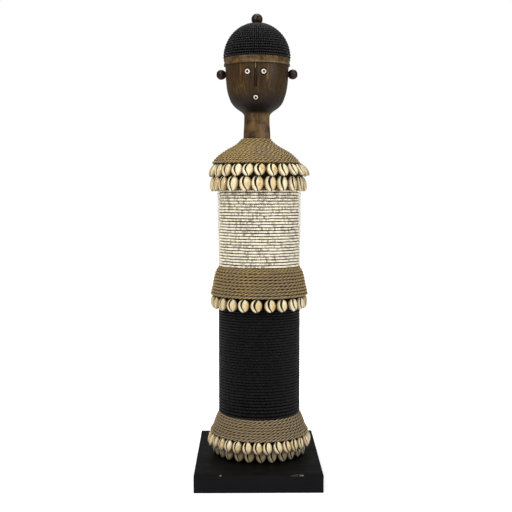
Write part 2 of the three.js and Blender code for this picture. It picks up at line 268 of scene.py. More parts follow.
class Finish:
    """One material: its tree, its shader and the steps that its patterns share."""

    def __init__(self, name, roughness, metallic=0.0, specular=0.5, coat=0.0, coat_roughness=0.15, sheen=0.0):
        self.material = bpy.data.materials.new(name)
        self.material.use_nodes = True
        self.tree = self.material.node_tree
        self.shader = self.tree.nodes["Principled BSDF"]
        values = {
            "Roughness": roughness, "Metallic": metallic, "Specular IOR Level": specular,
            "Coat Weight": coat, "Coat Roughness": coat_roughness, "Sheen Weight": sheen,
        }
        for socket, value in values.items():
            self.shader.inputs[socket].default_value = value
        self.place = wire(self.tree, "ShaderNodeTexCoord").outputs["Object"]

    def attribute(self, name):
        """A number painted on the piece's points."""
        return wire(self.tree, "ShaderNodeAttribute", attribute_name=name).outputs["Fac"]

    def axis(self, letter):
        """One coordinate of the place on the object."""
        return wire(self.tree, "ShaderNodeSeparateXYZ", {0: self.place}).outputs[letter]

    def stretched(self, x, y, z, at=None):
        """The place, scaled along each axis."""
        source = self.place if at is None else at
        return out(self.tree, "ShaderNodeMapping", {"Vector": source, "Scale": (x, y, z)})

    def noise(self, scale, detail=3.0, at=None, roughness=0.5, distortion=0.0):
        """A soft random pattern; scale is in patches to a metre."""
        sockets = {
            "Vector": self.place if at is None else at, "Scale": scale, "Detail": detail,
            "Roughness": roughness, "Distortion": distortion,
        }
        return out(self.tree, "ShaderNodeTexNoise", sockets)

    def mix(self, factor, first, second):
        """Two colours, mixed."""
        def as_colour(value):
            return value if isinstance(value, bpy.types.NodeSocket) else (*value[:3], 1.0)
        sockets = {0: factor, 6: as_colour(first), 7: as_colour(second)}
        return wire(self.tree, "ShaderNodeMix", sockets, data_type="RGBA").outputs[2]

    def darker(self, colour_output, factor, amount):
        """A colour taken down towards black by a share of the factor."""
        share = times(self.tree, factor, amount)
        return self.mix(share, colour_output, (0.004, 0.003, 0.002))

    def paint(self, colour_output):
        """Sets the base colour."""
        self.tree.links.new(colour_output, self.shader.inputs["Base Color"])

    def polish(self, factor, low, high):
        """Roughness that follows a pattern."""
        self.tree.links.new(remap(self.tree, factor, 0, 1, low, high), self.shader.inputs["Roughness"])

    def bump(self, height, depth):
        """Fine relief; depth is how far the pattern's 0 to 1 stands out."""
        relief = out(self.tree, "ShaderNodeBump", {"Height": height, "Distance": depth})
        self.tree.links.new(relief, self.shader.inputs["Normal"])


LEFT_SCUFF, RIGHT_SCUFF = 47 * MM, 48 * MM   # how far the plinth's rubbed places are from its middle
GREY_ROPE = (0.14, 0.1)                      # heights between which the rope turns grey towards the hem
BROWN_CLOTH = (0.365, 0.37)                  # heights between which the cloth turns brown under the cape
SHADED_SHELLS = (43 * MM, 35 * MM)           # heights between which the shells are painted darker towards the plinth, as painted shade


def black_paint(colours):
    """Satin black paint over wood, rubbed pale in places along the edges of the plinth; its top face is
    painted darker as painted shade.
    """
    low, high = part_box("plinth")
    finish = Finish("black_paint", 0.5, specular=0.06)
    tree = finish.tree
    grain = finish.noise(90, 5, at=finish.stretched(0.15, 1, 1), roughness=0.6)
    cloud = finish.noise(14, 3)
    coat = finish.mix(remap(tree, cloud, 0.42, 0.75, 0, 0.5), colours.paint, dimmed(colours.paint, 1.6))
    # Painted shade: the top face is painted darker than the sides.
    top_face_shade = remap(tree, finish.axis("Z"), high.z - 1.5 * MM, high.z - 0.6 * MM, 0, 0.8)
    coat = finish.mix(top_face_shade, coat, (0.0016, 0.0017, 0.002))
    near_front = remap(tree, finish.axis("Y"), low.y + 2.2 * MM, low.y + 0.4 * MM)
    near_top = remap(tree, finish.axis("Z"), high.z - 2.2 * MM, high.z - 0.3 * MM)
    edge = times(tree, near_front, near_top)
    x = finish.axis("X")
    left = remap(tree, calc(tree, "ABSOLUTE", plus(tree, x, LEFT_SCUFF)), 3 * MM, 1.5 * MM)
    right = remap(tree, calc(tree, "ABSOLUTE", calc(tree, "SUBTRACT", x, RIGHT_SCUFF)), 9 * MM, 5 * MM)
    flecks = remap(tree, finish.noise(420, 4, roughness=0.7), 0.46, 0.6)
    scuffs = times(tree, times(tree, edge, plus(tree, left, right)), flecks)
    finish.paint(finish.mix(scuffs, coat, from_srgb(150, 148, 142)))
    finish.polish(finish.noise(60, 4), 0.4, 0.62)
    finish.bump(plus(tree, grain, times(tree, cloud, 0.6)), 0.12 * MM)
    return finish.material


def plain_finish(
        name, roughness, pattern, shades, relief, spread=None, polish=None, stretch=(1, 1, 1), **shader):
    """A finish whose one pattern mixes two shades and makes the relief, and the polish where it is given.

    pattern holds the settings of the noise, and spread the part of it that the two shades share out.
    """
    finish = Finish(name, roughness, **shader)
    cloud = finish.noise(at=finish.stretched(*stretch), **pattern)
    finish.paint(finish.mix(remap(finish.tree, cloud, *spread) if spread else cloud, *shades))
    if polish:
        finish.polish(cloud, *polish)
    finish.bump(cloud, relief)
    return finish.material


GRAIN = {"detail": 6, "roughness": 0.62, "distortion": 0.6}
GRAIN_STRETCH = (1, 1, 0.09)   # long streaks that run up the piece


def stained_wood(colours):
    """Dark, hand-rubbed stain: thin in streaks, thicker on the chin, pale on band and neck; painted shade in
    the creases, under the chin and under the cap, and a painted highlight on the nose top and the band's
    edge.
    """
    finish = Finish("stained_wood", 0.4, specular=0.17)
    tree = finish.tree
    height = finish.axis("Z")
    grain = finish.noise(420, at=finish.stretched(*GRAIN_STRETCH), **GRAIN)
    pores = finish.noise(1500, 3, at=finish.stretched(1, 1, 0.06), roughness=0.7)
    patches = finish.noise(46, 3, at=finish.stretched(1, 1, 0.3), distortion=0.8)
    thin = times(tree, remap(tree, grain, 0.38, 0.72), remap(tree, patches, 0.35, 0.68, 0.25, 1))
    base = finish.mix(thin, colours.wood, colours.wood_light)
    streak = times(tree, remap(tree, patches, 0.58, 0.72), remap(tree, grain, 0.42, 0.6))
    base = finish.mix(times(tree, streak, 0.45), base, from_srgb(132, 93, 44))
    # Darker towards the chin: partly thicker stain, partly painted shade under the chin.
    chin = remap(tree, height, NOSE_FOOT - 2 * MM, NOSE_FOOT - 24 * MM, 0, 0.9)
    base = finish.mix(chin, base, from_srgb(16, 13, 10))
    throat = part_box("cape_rope")[1].z + 31 * MM
    neck = finish.mix(remap(tree, patches, 0.4, 0.66), colours.band, from_srgb(66, 46, 27))
    smudge = finish.noise(75, 4, at=finish.stretched(1, 1, 1.6), roughness=0.7)
    neck = finish.darker(neck, remap(tree, smudge, 0.42, 0.66), 0.7)
    base = finish.mix(remap(tree, height, throat + 1.5 * MM, throat - 3.5 * MM), base, neck)
    band = finish.mix(remap(tree, grain, 0.35, 0.65), dimmed(colours.band, 0.5), colours.band)
    band = finish.darker(band, remap(tree, smudge, 0.4, 0.6), 0.6)
    base = finish.mix(finish.attribute("band"), base, band)
    under_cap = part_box("cap_bead_winding")[0].z + 1 * MM
    # Painted shade: the skull under the beaded cap is painted darker.
    base = finish.darker(base, remap(tree, height, under_cap, under_cap + 1 * MM), 0.85)
    base = finish.darker(base, remap(tree, pores, 0.56, 0.72), 0.5)
    # Painted highlight: a pale colour on the nose top and along the band's lower right edge.
    base = finish.mix(times(tree, finish.attribute("worn"), 0.7), base, from_srgb(176, 160, 126))
    # Painted shade: the creases beside the nose, round the ring-bead seats and under the band are painted
    # black.
    finish.paint(finish.darker(base, finish.attribute("groove"), 1.0))
    finish.polish(grain, 0.3, 0.5)
    finish.bump(plus(tree, grain, times(tree, pores, 0.5)), 0.12 * MM)
    return finish.material


def seed_beads(name, colour_value, dull, roughness, specular):
    """Glass seed beads; each one's tone differs a little."""
    finish = Finish(name, roughness, specular=specular)
    tone = finish.attribute("tone")
    grime = finish.noise(700, 3)
    finish.paint(finish.mix(
        times(finish.tree, remap(finish.tree, tone, 0.5, 1.0), remap(finish.tree, grime, 0.3, 0.6)),
        colour_value, dull))
    finish.polish(grime, roughness - 0.06, roughness + 0.16)
    finish.bump(grime, 0.05 * MM)
    return finish.material


def sisal(colours):
    """Hairy two-ply rope: long fibres that follow each ply, with painted shade where the plies meet."""
    finish = Finish("sisal_rope", 0.85, specular=0.15, sheen=0.1)
    tree = finish.tree
    along, around = finish.attribute("along"), finish.attribute("around")
    twisted = plus(tree, around, times(tree, along, -55.0))
    coordinates = xyz(tree, along, twisted, finish.attribute("ply"))
    fibres = finish.noise(1.0, 4, at=finish.stretched(300, 10, 3, at=coordinates), roughness=0.7)
    stretches = finish.noise(30, 4)
    base = finish.mix(remap(tree, fibres, 0.32, 0.66), colours.sisal_shade, colours.sisal)
    straw = times(tree, remap(tree, fibres, 0.52, 0.7), 0.8)
    base = finish.mix(straw, base, dimmed(colours.sisal, 1.7))
    grey = finish.mix(0.6, base, from_srgb(136, 122, 102))
    base = finish.mix(remap(tree, stretches, 0.42, 0.62, 0, 0.7), base, grey)
    base = finish.mix(remap(tree, finish.axis("Z"), *GREY_ROPE), base, grey)
    # Painted shade: darker away from each ply's crown, where the plies meet.
    base = finish.darker(base, remap(tree, finish.attribute("crown"), 0.44, 0.16), 0.93)
    finish.paint(base)
    finish.bump(fibres, 0.45 * MM)
    return finish.material


def black_cloth():
    """Matt black cotton with an open weave."""
    finish = Finish("black_cloth", 0.95, specular=0.15, sheen=0.1)
    tree = finish.tree
    upright = finish.stretched(0, 0, 1)
    warp = wire(tree, "ShaderNodeTexWave", {"Vector": upright, "Scale": 420.0, "Distortion": 1.5})
    fuzz = finish.noise(1400, 3)
    weave = plus(tree, warp.outputs["Fac"], fuzz)
    black = finish.mix(remap(tree, weave, 0.5, 1.5), from_srgb(3, 3, 3), from_srgb(13, 11, 10))
    brown = finish.mix(remap(tree, weave, 0.5, 1.5), from_srgb(48, 34, 20), from_srgb(92, 70, 42))
    finish.paint(finish.mix(remap(tree, finish.axis("Z"), *BROWN_CLOTH), black, brown))
    finish.bump(weave, 0.15 * MM)
    return finish.material


def cowrie_shell(colours):
    """Polished shell: pale narrow lip and tan broad lip, with painted shade in the slit, along the rim and on
    the low row near the plinth.
    """
    finish = Finish("cowrie_shell", 0.3, specular=0.4, coat=0.12, coat_roughness=0.2)
    tree = finish.tree
    across, along, tone = (finish.attribute(name) for name in ("across", "along", "tone"))
    broad = times(tree, remap(tree, across, -0.1, 0.3), remap(tree, across, 1.0, 0.8, 0.5, 1))
    ends = times(tree, remap(tree, along, 0.0, 0.3), remap(tree, along, 1.0, 0.7))
    cloud = finish.noise(260, 3, distortion=0.4)
    blotch = times(tree, times(tree, broad, ends), remap(tree, cloud, 0.28, 0.62, 0.4, 1))
    warmth = times(tree, blotch, remap(tree, tone, 0.1, 0.95, 0.15, 1.0))
    base = finish.mix(warmth, colours.ivory, colours.tan)
    aged = times(tree, remap(tree, finish.noise(55, 3), 0.42, 0.62), 0.5)
    base = finish.mix(aged, base, from_srgb(198, 172, 118))
    umber = times(tree, remap(tree, finish.noise(430, 4), 0.55, 0.72), warmth)
    base = finish.mix(times(tree, umber, 0.6), base, from_srgb(150, 112, 58))
    # Painted shade: the rim, where the shell curves away, is painted darker brown.
    edge = calc(tree, "ABSOLUTE", across)
    base = finish.mix(remap(tree, edge, 0.66, 1.0, 0, 0.8), base, from_srgb(128, 102, 60))
    # Painted shade on the low row of shells near the plinth.
    base = finish.mix(remap(tree, finish.axis("Z"), *SHADED_SHELLS, 0, 0.62), base, from_srgb(84, 74, 60))
    slit = finish.attribute("slit")
    # Painted shade: the slit's opening is painted black.
    finish.paint(finish.darker(base, remap(tree, slit, 0.0, 0.7), 1.0))
    finish.polish(calc(tree, "MAXIMUM", times(tree, cloud, 0.35), slit), 0.2, 0.85)
    finish.bump(cloud, 0.06 * MM)
    return finish.material


FINISHES = {}


def mix_finishes(colours):
    """Makes every finish once, under the record's slot names."""
    FINISHES.update({
        "black_paint": black_paint(colours),
        "steel": plain_finish(
            "steel", 0.35, {"scale": 900, "detail": 2}, (from_srgb(120, 121, 124), from_srgb(176, 178, 180)),
            0.03 * MM, polish=(0.28, 0.5), stretch=(0.2, 0.2, 3), metallic=1.0),
        "raw_wood": plain_finish(
            "raw_wood", 0.75, {"scale": 260, **GRAIN}, (dimmed(colours.raw_wood, 0.55), colours.raw_wood),
            0.15 * MM, spread=(0.35, 0.7), stretch=GRAIN_STRETCH, specular=0.3),
        "stained_wood": stained_wood(colours),
        "dark_bead": plain_finish(
            "bead_wood", 0.32, {"scale": 520, "detail": 4, "roughness": 0.6},
            (colours.bead_wood, from_srgb(66, 38, 24)),
            0.08 * MM, spread=(0.45, 0.72), polish=(0.24, 0.42), stretch=(1, 1, 0.3), specular=0.22),
        "white_beads": seed_beads("white_beads", colours.white_beads, from_srgb(160, 146, 118), 0.28, 0.4),
        "black_beads": seed_beads("black_beads", colours.black_beads, from_srgb(18, 18, 19), 0.25, 0.26),
        "sisal_rope": sisal(colours),
        "black_cloth": black_cloth(),
        "thread": plain_finish(
            "waxed_thread", 0.6, {"scale": 1600, "detail": 2}, (from_srgb(18, 14, 11), from_srgb(52, 42, 32)),
            0.06 * MM, specular=0.35),
        "cowrie": cowrie_shell(colours),
        "ring_bead": plain_finish(
            "ring_bead_glaze", 0.3, {"scale": 700}, (from_srgb(226, 216, 200), from_srgb(190, 176, 152)),
            0.05 * MM, spread=(0.4, 0.8), specular=0.3),
        "nail": plain_finish(
            "dark_iron", 0.55, {"scale": 1800}, (from_srgb(7, 6, 5), from_srgb(24, 20, 17)),
            0.05 * MM, metallic=0.2, specular=0.12),
    })


# ------------------------------------------------------------------ meshes and pieces


def show(name, data):
    """Puts a mesh, curve, light or camera into the scene; a name that a CAD node has gets a word added."""
    if name in frame["nodes"]:
        name = f"{name}_made"
    piece = bpy.data.objects.new(name, data)
    bpy.context.scene.collection.objects.link(piece)
    return piece


def hand_over(piece, slot, body=DOLL, stands_for=()):
    """Gives a finished piece its finish, its body and the CAD nodes that it stands for."""
    if not piece.data.materials:
        piece.data.materials.append(FINISHES[slot])
    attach(piece, body)
    if stands_for:
        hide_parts(*stands_for)


def soften(mesh, crease_angle=40):
    """Smooth shading, but for edges sharper than the angle."""
    mesh.polygons.foreach_set("use_smooth", [True] * len(mesh.polygons))
    mesh.set_sharp_from_angle(angle=math.radians(crease_angle))


def skin(name, rings, ring_closes=True, marks=None):
    """A closed mesh through rings of points.

    With ring_closes the last ring joins the first, as round a hoop. Otherwise each end is drawn to a
    point. marks maps an attribute's name to one number for each point, ring by ring.
    """
    around = len(rings[0])
    vertices = [tuple(point) for ring in rings for point in ring]
    faces = []
    for row in range(len(rings) if ring_closes else len(rings) - 1):
        this, following = row * around, ((row + 1) % len(rings)) * around
        for column in range(around):
            beside = (column + 1) % around
            faces.append((this + column, this + beside, following + beside, following + column))
    marks = {name: list(values) for name, values in (marks or {}).items()}
    if not ring_closes:
        for ring_start in (0, (len(rings) - 1) * around):
            centre = sum((Vector(vertices[ring_start + i]) for i in range(around)), Vector()) / around
            tip = len(vertices)
            vertices.append(tuple(centre))
            for values in marks.values():
                values.append(values[ring_start])
            for column in range(around):
                faces.append((ring_start + column, ring_start + (column + 1) % around, tip))
    mesh = bpy.data.meshes.new(name)
    mesh.from_pydata(vertices, [], faces)
    for mark, values in marks.items():
        mesh.attributes.new(mark, "FLOAT", "POINT").data.foreach_set("value", values)
    face_outwards(mesh)
    return mesh


def face_outwards(mesh):
    """Turns every face of a closed mesh outwards."""
    work = bmesh.new()
    work.from_mesh(mesh)
    bmesh.ops.recalc_face_normals(work, faces=work.faces)
    if work.calc_volume(signed=True) < 0:
        bmesh.ops.reverse_faces(work, faces=work.faces)
    work.to_mesh(mesh)
    work.free()


def turned(name, outline, sides, place=Matrix.Identity(4), hoop=False, shape=None):
    """A turned piece about its own Z: outline holds (radius, height); shape may change a radius."""
    rings = []
    for radius, height in outline:
        ring = []
        for step in range(sides):
            angle = TURN * step / sides
            reach = shape(radius, height, angle) if shape else radius
            ring.append(place @ Vector((reach * math.cos(angle), reach * math.sin(angle), height)))
        rings.append(ring)
    mesh = skin(name, rings, ring_closes=hoop)
    soften(mesh)
    return mesh


def turned_piece(node, outline, sides, slot, place, **more):
    """A turned piece that stands for its node."""
    hand_over(show(node, turned(node, outline, sides, place, **more)), slot, stands_for=[node])


def rounded(outline, reach, steps):
    """The outline with each inner corner replaced by a short arc that starts `reach` from it."""
    points = [Vector(point) for point in outline]
    result = [points[0]]
    for before, corner, after in zip(points, points[1:], points[2:]):
        into = min(reach, (corner - before).length / 2.2)
        onward = min(reach, (after - corner).length / 2.2)
        start = corner + (before - corner).normalized() * into
        end = corner + (after - corner).normalized() * onward
        for step in range(steps + 1):
            share = step / steps
            result.append(start.lerp(corner, share).lerp(corner.lerp(end, share), share))
    result.append(points[-1])
    return result


def smooth_curve(points, spacing):
    """A smooth line through the points, with steps of about the spacing."""
    points = [Vector(point) for point in points]
    padded = [2 * points[0] - points[1], *points, 2 * points[-1] - points[-2]]
    result = []
    for a, b, c, d in zip(padded, padded[1:], padded[2:], padded[3:]):
        steps = max(1, round((c - b).length / spacing))
        for step in range(steps):
            t = step / steps
            result.append(0.5 * (
                2 * b + (c - a) * t + (2 * a - 5 * b + 4 * c - d) * t * t + (3 * b - a - 3 * c + d) * t ** 3))
    result.append(points[-1])
    return result


def facing(centre, outward):
    """A place whose Z points outwards."""
    return Matrix.Translation(centre) @ outward.to_track_quat("Z", "Y").to_matrix().to_4x4()


# ------------------------------------------------------------------ geometry-node trees


def new_tree(name, inputs):
    """A geometry tree with named inputs, each (label, socket type, default)."""
    tree = bpy.data.node_groups.new(name, "GeometryNodeTree")
    tree.interface.new_socket("Geometry", in_out="INPUT", socket_type="NodeSocketGeometry")
    for label, kind, default in inputs:
        socket = tree.interface.new_socket(label, in_out="INPUT", socket_type=f"NodeSocket{kind}")
        if default is not None:
            socket.default_value = default
    tree.interface.new_socket("Geometry", in_out="OUTPUT", socket_type="NodeSocketGeometry")
    return tree, tree.nodes.new("NodeGroupInput").outputs


def realized(tree, geometry, material):
    """Realizes the instances and sets their material."""
    real = out(tree, "GeometryNodeRealizeInstances", {"Geometry": geometry})
    return out(tree, "GeometryNodeSetMaterial", {"Geometry": real, "Material": material})


def end_tree(tree, geometry):
    """Smooths the result and ends the tree."""
    smooth = out(tree, "GeometryNodeSetShadeSmooth", {"Geometry": geometry})
    wire(tree, "NodeGroupOutput", {"Geometry": smooth})


def instance_of(tree, helper):
    """An object's geometry, to be placed on points."""
    sockets = {"Object": helper, "As Instance": True}
    return wire(tree, "GeometryNodeObjectInfo", sockets).outputs["Geometry"]


def turned_by(tree, rotation, turn):
    """A rotation with a second one added in its own axes."""
    sockets = {"Rotation": rotation, "Rotate By": turn}
    return out(tree, "FunctionNodeRotateRotation", sockets, rotation_space="LOCAL")


def random_number(tree, low, high, seed):
    """A random number for each point or instance."""
    sockets = {2: low, 3: high, "Seed": seed}
    return wire(tree, "FunctionNodeRandomValue", sockets, data_type="FLOAT").outputs[1]


def random_turn(tree, most, seed):
    """A small random rotation about each axis."""
    negative = times(tree, most, -1.0)
    low = xyz(tree, negative, negative, negative)
    high = xyz(tree, most, most, most)
    sockets = {0: low, 1: high, "Seed": seed}
    turn = out(tree, "FunctionNodeRandomValue", sockets, data_type="FLOAT_VECTOR")
    return out(tree, "FunctionNodeEulerToRotation", {0: turn})


def keep_number(tree, geometry, name, value, domain):
    """Stores a number under a name, for the finishes to read."""
    sockets = {"Geometry": geometry, "Name": name, "Value": value}
    return out(
        tree, "GeometryNodeStoreNamedAttribute", sockets, data_type="FLOAT", domain=domain)


COIL_INPUTS = [
    ("Outline", "Object", None),
    ("Axis X", "Float", 0.0),
    ("Rows", "Float", 10.0),
    ("Left off", "Float", 0.0),
    ("Wobble", "Float", 0.0),
    ("Seed", "Int", 1),
    ("Finish", "Material", None),
]
COIL_STEPS = 96               # points in one turn of a coil
STEP_UP = 0.86                # the share of a turn after which a row climbs to the next
SEAM = 0.5 * math.pi + 0.4    # where a turn starts, behind the doll
ROW_WAVES = 95.0              # waves to a metre in which a row strays


def wound_path(tree, given):
    """A line wound in level rows that step up at the back, from the outline's first end to its last.

    The outline's X is the radius, its Z the height, and its Y how much higher the row is in front.
    """
    outline = wire(tree, "GeometryNodeObjectInfo", {"Object": given["Outline"]}).outputs["Geometry"]
    straight = out(tree, "GeometryNodeCurvePrimitiveLine")
    laps = calc(tree, "SUBTRACT", given["Rows"], given["Left off"])
    count = times(tree, laps, float(COIL_STEPS))
    line = out(tree, "GeometryNodeResampleCurve", {"Curve": straight, "Count": count}, mode="COUNT")
    share = wire(tree, "GeometryNodeSplineParameter").outputs["Factor"]
    turns = times(tree, share, laps)
    step = remap(tree, calc(tree, "FRACT", turns), STEP_UP, 1.0)
    row = plus(tree, calc(tree, "FLOOR", turns), step)
    climb = calc(tree, "MINIMUM", calc(tree, "DIVIDE", row, calc(tree, "SUBTRACT", given["Rows"], 1.0)), 1.0)
    sample = wire(
        tree, "GeometryNodeSampleCurve", {"Curves": outline, "Factor": climb},
        mode="FACTOR", use_all_curves=True).outputs["Position"]
    parts = wire(tree, "ShaderNodeSeparateXYZ", {0: sample}).outputs
    angle = calc(tree, "MULTIPLY_ADD", turns, TURN, SEAM)
    x = times(tree, parts[0], calc(tree, "COSINE", angle))
    y = times(tree, parts[0], calc(tree, "SINE", angle))
    frontness = calc(tree, "MULTIPLY_ADD", calc(tree, "SINE", angle), -0.5, 0.5)
    height = calc(tree, "MULTIPLY_ADD", frontness, parts[1], parts[2])
    level = xyz(tree, x, y, height)
    seed = times(tree, given["Seed"], 7.3)
    waves = wire(
        tree, "ShaderNodeTexNoise", {"Vector": level, "W": seed, "Scale": ROW_WAVES, "Detail": 3.0},
        noise_dimensions="4D").outputs["Color"]
    stray = scaled(tree, vector_calc(tree, "SUBTRACT", waves, (0.5, 0.5, 0.5)), given["Wobble"])
    axis = xyz(tree, given["Axis X"])
    place = vector_calc(tree, "ADD", vector_calc(tree, "ADD", level, stray), axis)
    return out(tree, "GeometryNodeSetPosition", {"Geometry": line, "Position": place})


def bead_string_tree():
    """Beads threaded on a wound line."""
    tree, given = new_tree("Bead string", COIL_INPUTS + [
        ("Bead", "Object", None),
        ("Spacing", "Float", 2.3 * MM),
        ("Tilt", "Float", 0.1),
        ("Size change", "Float", 0.05),
    ])
    path = wound_path(tree, given)
    points = wire(
        tree, "GeometryNodeCurveToPoints", {"Curve": path, "Length": given["Spacing"]}, mode="LENGTH")
    tilt = random_turn(tree, given["Tilt"], given["Seed"])
    turn = turned_by(tree, points.outputs["Rotation"], tilt)
    small = calc(tree, "SUBTRACT", 1.0, given["Size change"])
    large = plus(tree, 1.0, given["Size change"])
    bead = instance_of(tree, given["Bead"])
    beads = out(tree, "GeometryNodeInstanceOnPoints", {
        "Points": points.outputs["Points"],
        "Instance": bead,
        "Rotation": turn,
        "Scale": random_number(tree, small, large, plus(tree, given["Seed"], 11.0)),
    })
    tone = random_number(tree, 0.0, 1.0, plus(tree, given["Seed"], 23.0))
    toned = keep_number(tree, beads, "tone", tone, "INSTANCE")
    end_tree(tree, realized(tree, toned, given["Finish"]))
    return tree


PLY_REACH, PLY_RADIUS = 0.245, 0.27     # of the rope's diameter
UNEVEN_TURNS, UNEVEN_WAVES = 1.8, 9.0   # how far the lay strays, and how often in a metre


def twisted_rope_tree():
    """Two plies that turn round each other along a wound line."""
    tree, given = new_tree("Twisted rope", COIL_INPUTS + [
        ("Diameter", "Float", 3.4 * MM),
        ("Lay", "Float", 12.4 * MM),
        ("Step", "Float", 1.25 * MM),
        ("Sides", "Int", 7),
    ])
    path = wound_path(tree, given)
    fine = out(tree, "GeometryNodeResampleCurve", {"Curve": path, "Length": given["Step"]}, mode="LENGTH")
    level = out(tree, "GeometryNodeSetCurveNormal", {"Curve": fine}, mode="Z_UP")
    plies = wire(tree, "GeometryNodeDuplicateElements", {"Geometry": level, "Amount": 2}, domain="SPLINE")
    ply = plies.outputs["Duplicate Index"]
    run = wire(tree, "GeometryNodeSplineParameter").outputs["Length"]
    uneven = out(
        tree, "ShaderNodeTexNoise", {"W": run, "Scale": UNEVEN_WAVES, "Detail": 2.0}, noise_dimensions="1D")
    laid = calc(tree, "MULTIPLY_ADD", uneven, UNEVEN_TURNS, calc(tree, "DIVIDE", run, given["Lay"]))
    phase = calc(tree, "MULTIPLY_ADD", laid, -TURN, times(tree, ply, math.pi))
    normal = out(tree, "GeometryNodeInputNormal")
    tangent = out(tree, "GeometryNodeInputTangent")
    binormal = vector_calc(tree, "CROSS_PRODUCT", tangent, normal)
    one_way = scaled(tree, normal, calc(tree, "COSINE", phase))
    other_way = scaled(tree, binormal, calc(tree, "SINE", phase))
    swing = vector_calc(tree, "ADD", one_way, other_way)
    reach = times(tree, given["Diameter"], PLY_REACH)
    centre = out(tree, "GeometryNodeInputPosition")
    cored = out(
        tree, "GeometryNodeStoreNamedAttribute",
        {"Geometry": plies.outputs["Geometry"], "Name": "core", "Value": centre},
        data_type="FLOAT_VECTOR", domain="POINT")
    twisted = out(
        tree, "GeometryNodeSetPosition", {"Geometry": cored, "Offset": scaled(tree, swing, reach)})
    marked = keep_number(tree, twisted, "along", run, "POINT")
    marked = keep_number(tree, marked, "ply", ply, "POINT")
    section = out(tree, "GeometryNodeCurvePrimitiveCircle", {
        "Resolution": given["Sides"], "Radius": times(tree, given["Diameter"], PLY_RADIUS)})
    around = wire(tree, "GeometryNodeSplineParameter").outputs["Factor"]
    section = keep_number(tree, section, "around", around, "POINT")
    mesh = out(tree, "GeometryNodeCurveToMesh", {
        "Curve": marked, "Profile Curve": section, "Fill Caps": True})
    core = out(tree, "GeometryNodeInputNamedAttribute", {"Name": "core"}, data_type="FLOAT_VECTOR")
    here = out(tree, "GeometryNodeInputPosition")
    away = wire(tree, "ShaderNodeVectorMath", {0: here, 1: core}, operation="DISTANCE").outputs["Value"]
    mesh = keep_number(tree, mesh, "crown", calc(tree, "DIVIDE", away, given["Diameter"]), "POINT")
    mesh = out(tree, "GeometryNodeRemoveAttribute", {"Geometry": mesh, "Name": "core"})
    end_tree(tree, realized(tree, mesh, given["Finish"]))
    return tree


def shell_row_tree():
    """Shells hung by thread loops in a ring, each turned to face away from the axis."""
    tree, given = new_tree("Shell row", [
        ("Shells", "Collection", None),
        ("Loop", "Object", None),
        ("Axis X", "Float", 0.0),
        ("Count", "Int", 1),
        ("Gap", "Float", 0.26),
        ("First", "Float", 0.0),
        ("Radius", "Float", 0.06),
        ("Height", "Float", 0.2),
        ("Tilt", "Float", 0.0),
        ("Right splay", "Float", 0.0),
        ("Front splay", "Float", 0.0),
        ("Size", "Vector", (1.0, 1.0, 1.0)),
        ("Lean", "Float", 0.08),
        ("Kinds", "Int", 1),
        ("Seed", "Int", 1),
        ("Shell finish", "Material", None),
        ("Thread finish", "Material", None),
    ])
    index = out(tree, "GeometryNodeInputIndex")
    angle = calc(tree, "MULTIPLY_ADD", index, given["Gap"], given["First"])
    x = calc(tree, "MULTIPLY_ADD", calc(tree, "SINE", angle), given["Radius"], given["Axis X"])
    y = times(tree, times(tree, calc(tree, "COSINE", angle), given["Radius"]), -1.0)
    place = xyz(tree, x, y, given["Height"])
    points = out(tree, "GeometryNodePoints", {"Count": given["Count"], "Position": place})
    about_z = xyz(tree, z=plus(tree, angle, math.pi))
    outwards = out(tree, "FunctionNodeEulerToRotation", {0: about_z})
    tilt = calc(tree, "MULTIPLY_ADD", calc(tree, "SINE", angle), given["Right splay"], given["Tilt"])
    tilt = calc(tree, "MULTIPLY_ADD", calc(tree, "COSINE", angle), given["Front splay"], tilt)
    about_x = xyz(tree, tilt)
    tilted = turned_by(tree, outwards, out(tree, "FunctionNodeEulerToRotation", {0: about_x}))
    leaning = turned_by(tree, tilted, random_turn(tree, given["Lean"], given["Seed"]))
    last_kind = calc(tree, "SUBTRACT", given["Kinds"], 1.0)
    kind = wire(tree, "FunctionNodeRandomValue", {
        4: 0, 5: last_kind, "Seed": plus(tree, given["Seed"], 5.0)}, data_type="INT").outputs[2]
    shells = out(tree, "GeometryNodeCollectionInfo", {
        "Collection": given["Shells"], "Separate Children": True, "Reset Children": True})
    hung = out(tree, "GeometryNodeInstanceOnPoints", {
        "Points": points, "Instance": shells, "Pick Instance": True, "Instance Index": kind,
        "Rotation": leaning, "Scale": given["Size"]})
    tone = random_number(tree, 0.0, 1.0, plus(tree, given["Seed"], 17.0))
    toned = keep_number(tree, hung, "tone", tone, "INSTANCE")
    glossy = realized(tree, toned, given["Shell finish"])
    loop = instance_of(tree, given["Loop"])
    loops = out(tree, "GeometryNodeInstanceOnPoints", {
        "Points": points, "Instance": loop, "Rotation": tilted})
    waxed = realized(tree, loops, given["Thread finish"])
    joined = wire(tree, "GeometryNodeJoinGeometry")
    tree.links.new(waxed, joined.inputs[0])
    tree.links.new(glossy, joined.inputs[0])
    end_tree(tree, joined.outputs[0])
    return tree


def grow(name, tree, values):
    """Runs a tree with these named inputs and keeps the result as a plain mesh."""
    piece = show(name, bpy.data.meshes.new(name))
    modifier = piece.modifiers.new(tree.name, "NODES")
    modifier.node_group = tree
    for item in tree.interface.items_tree:
        if item.in_out == "INPUT" and item.name in values:
            modifier[item.identifier] = values[item.name]
    graph = bpy.context.evaluated_depsgraph_get()
    mesh = bpy.data.meshes.new_from_object(
        piece.evaluated_get(graph), preserve_all_data_layers=True, depsgraph=graph)
    mesh.name = name
    piece.modifiers.clear()
    piece.data = mesh
    return piece


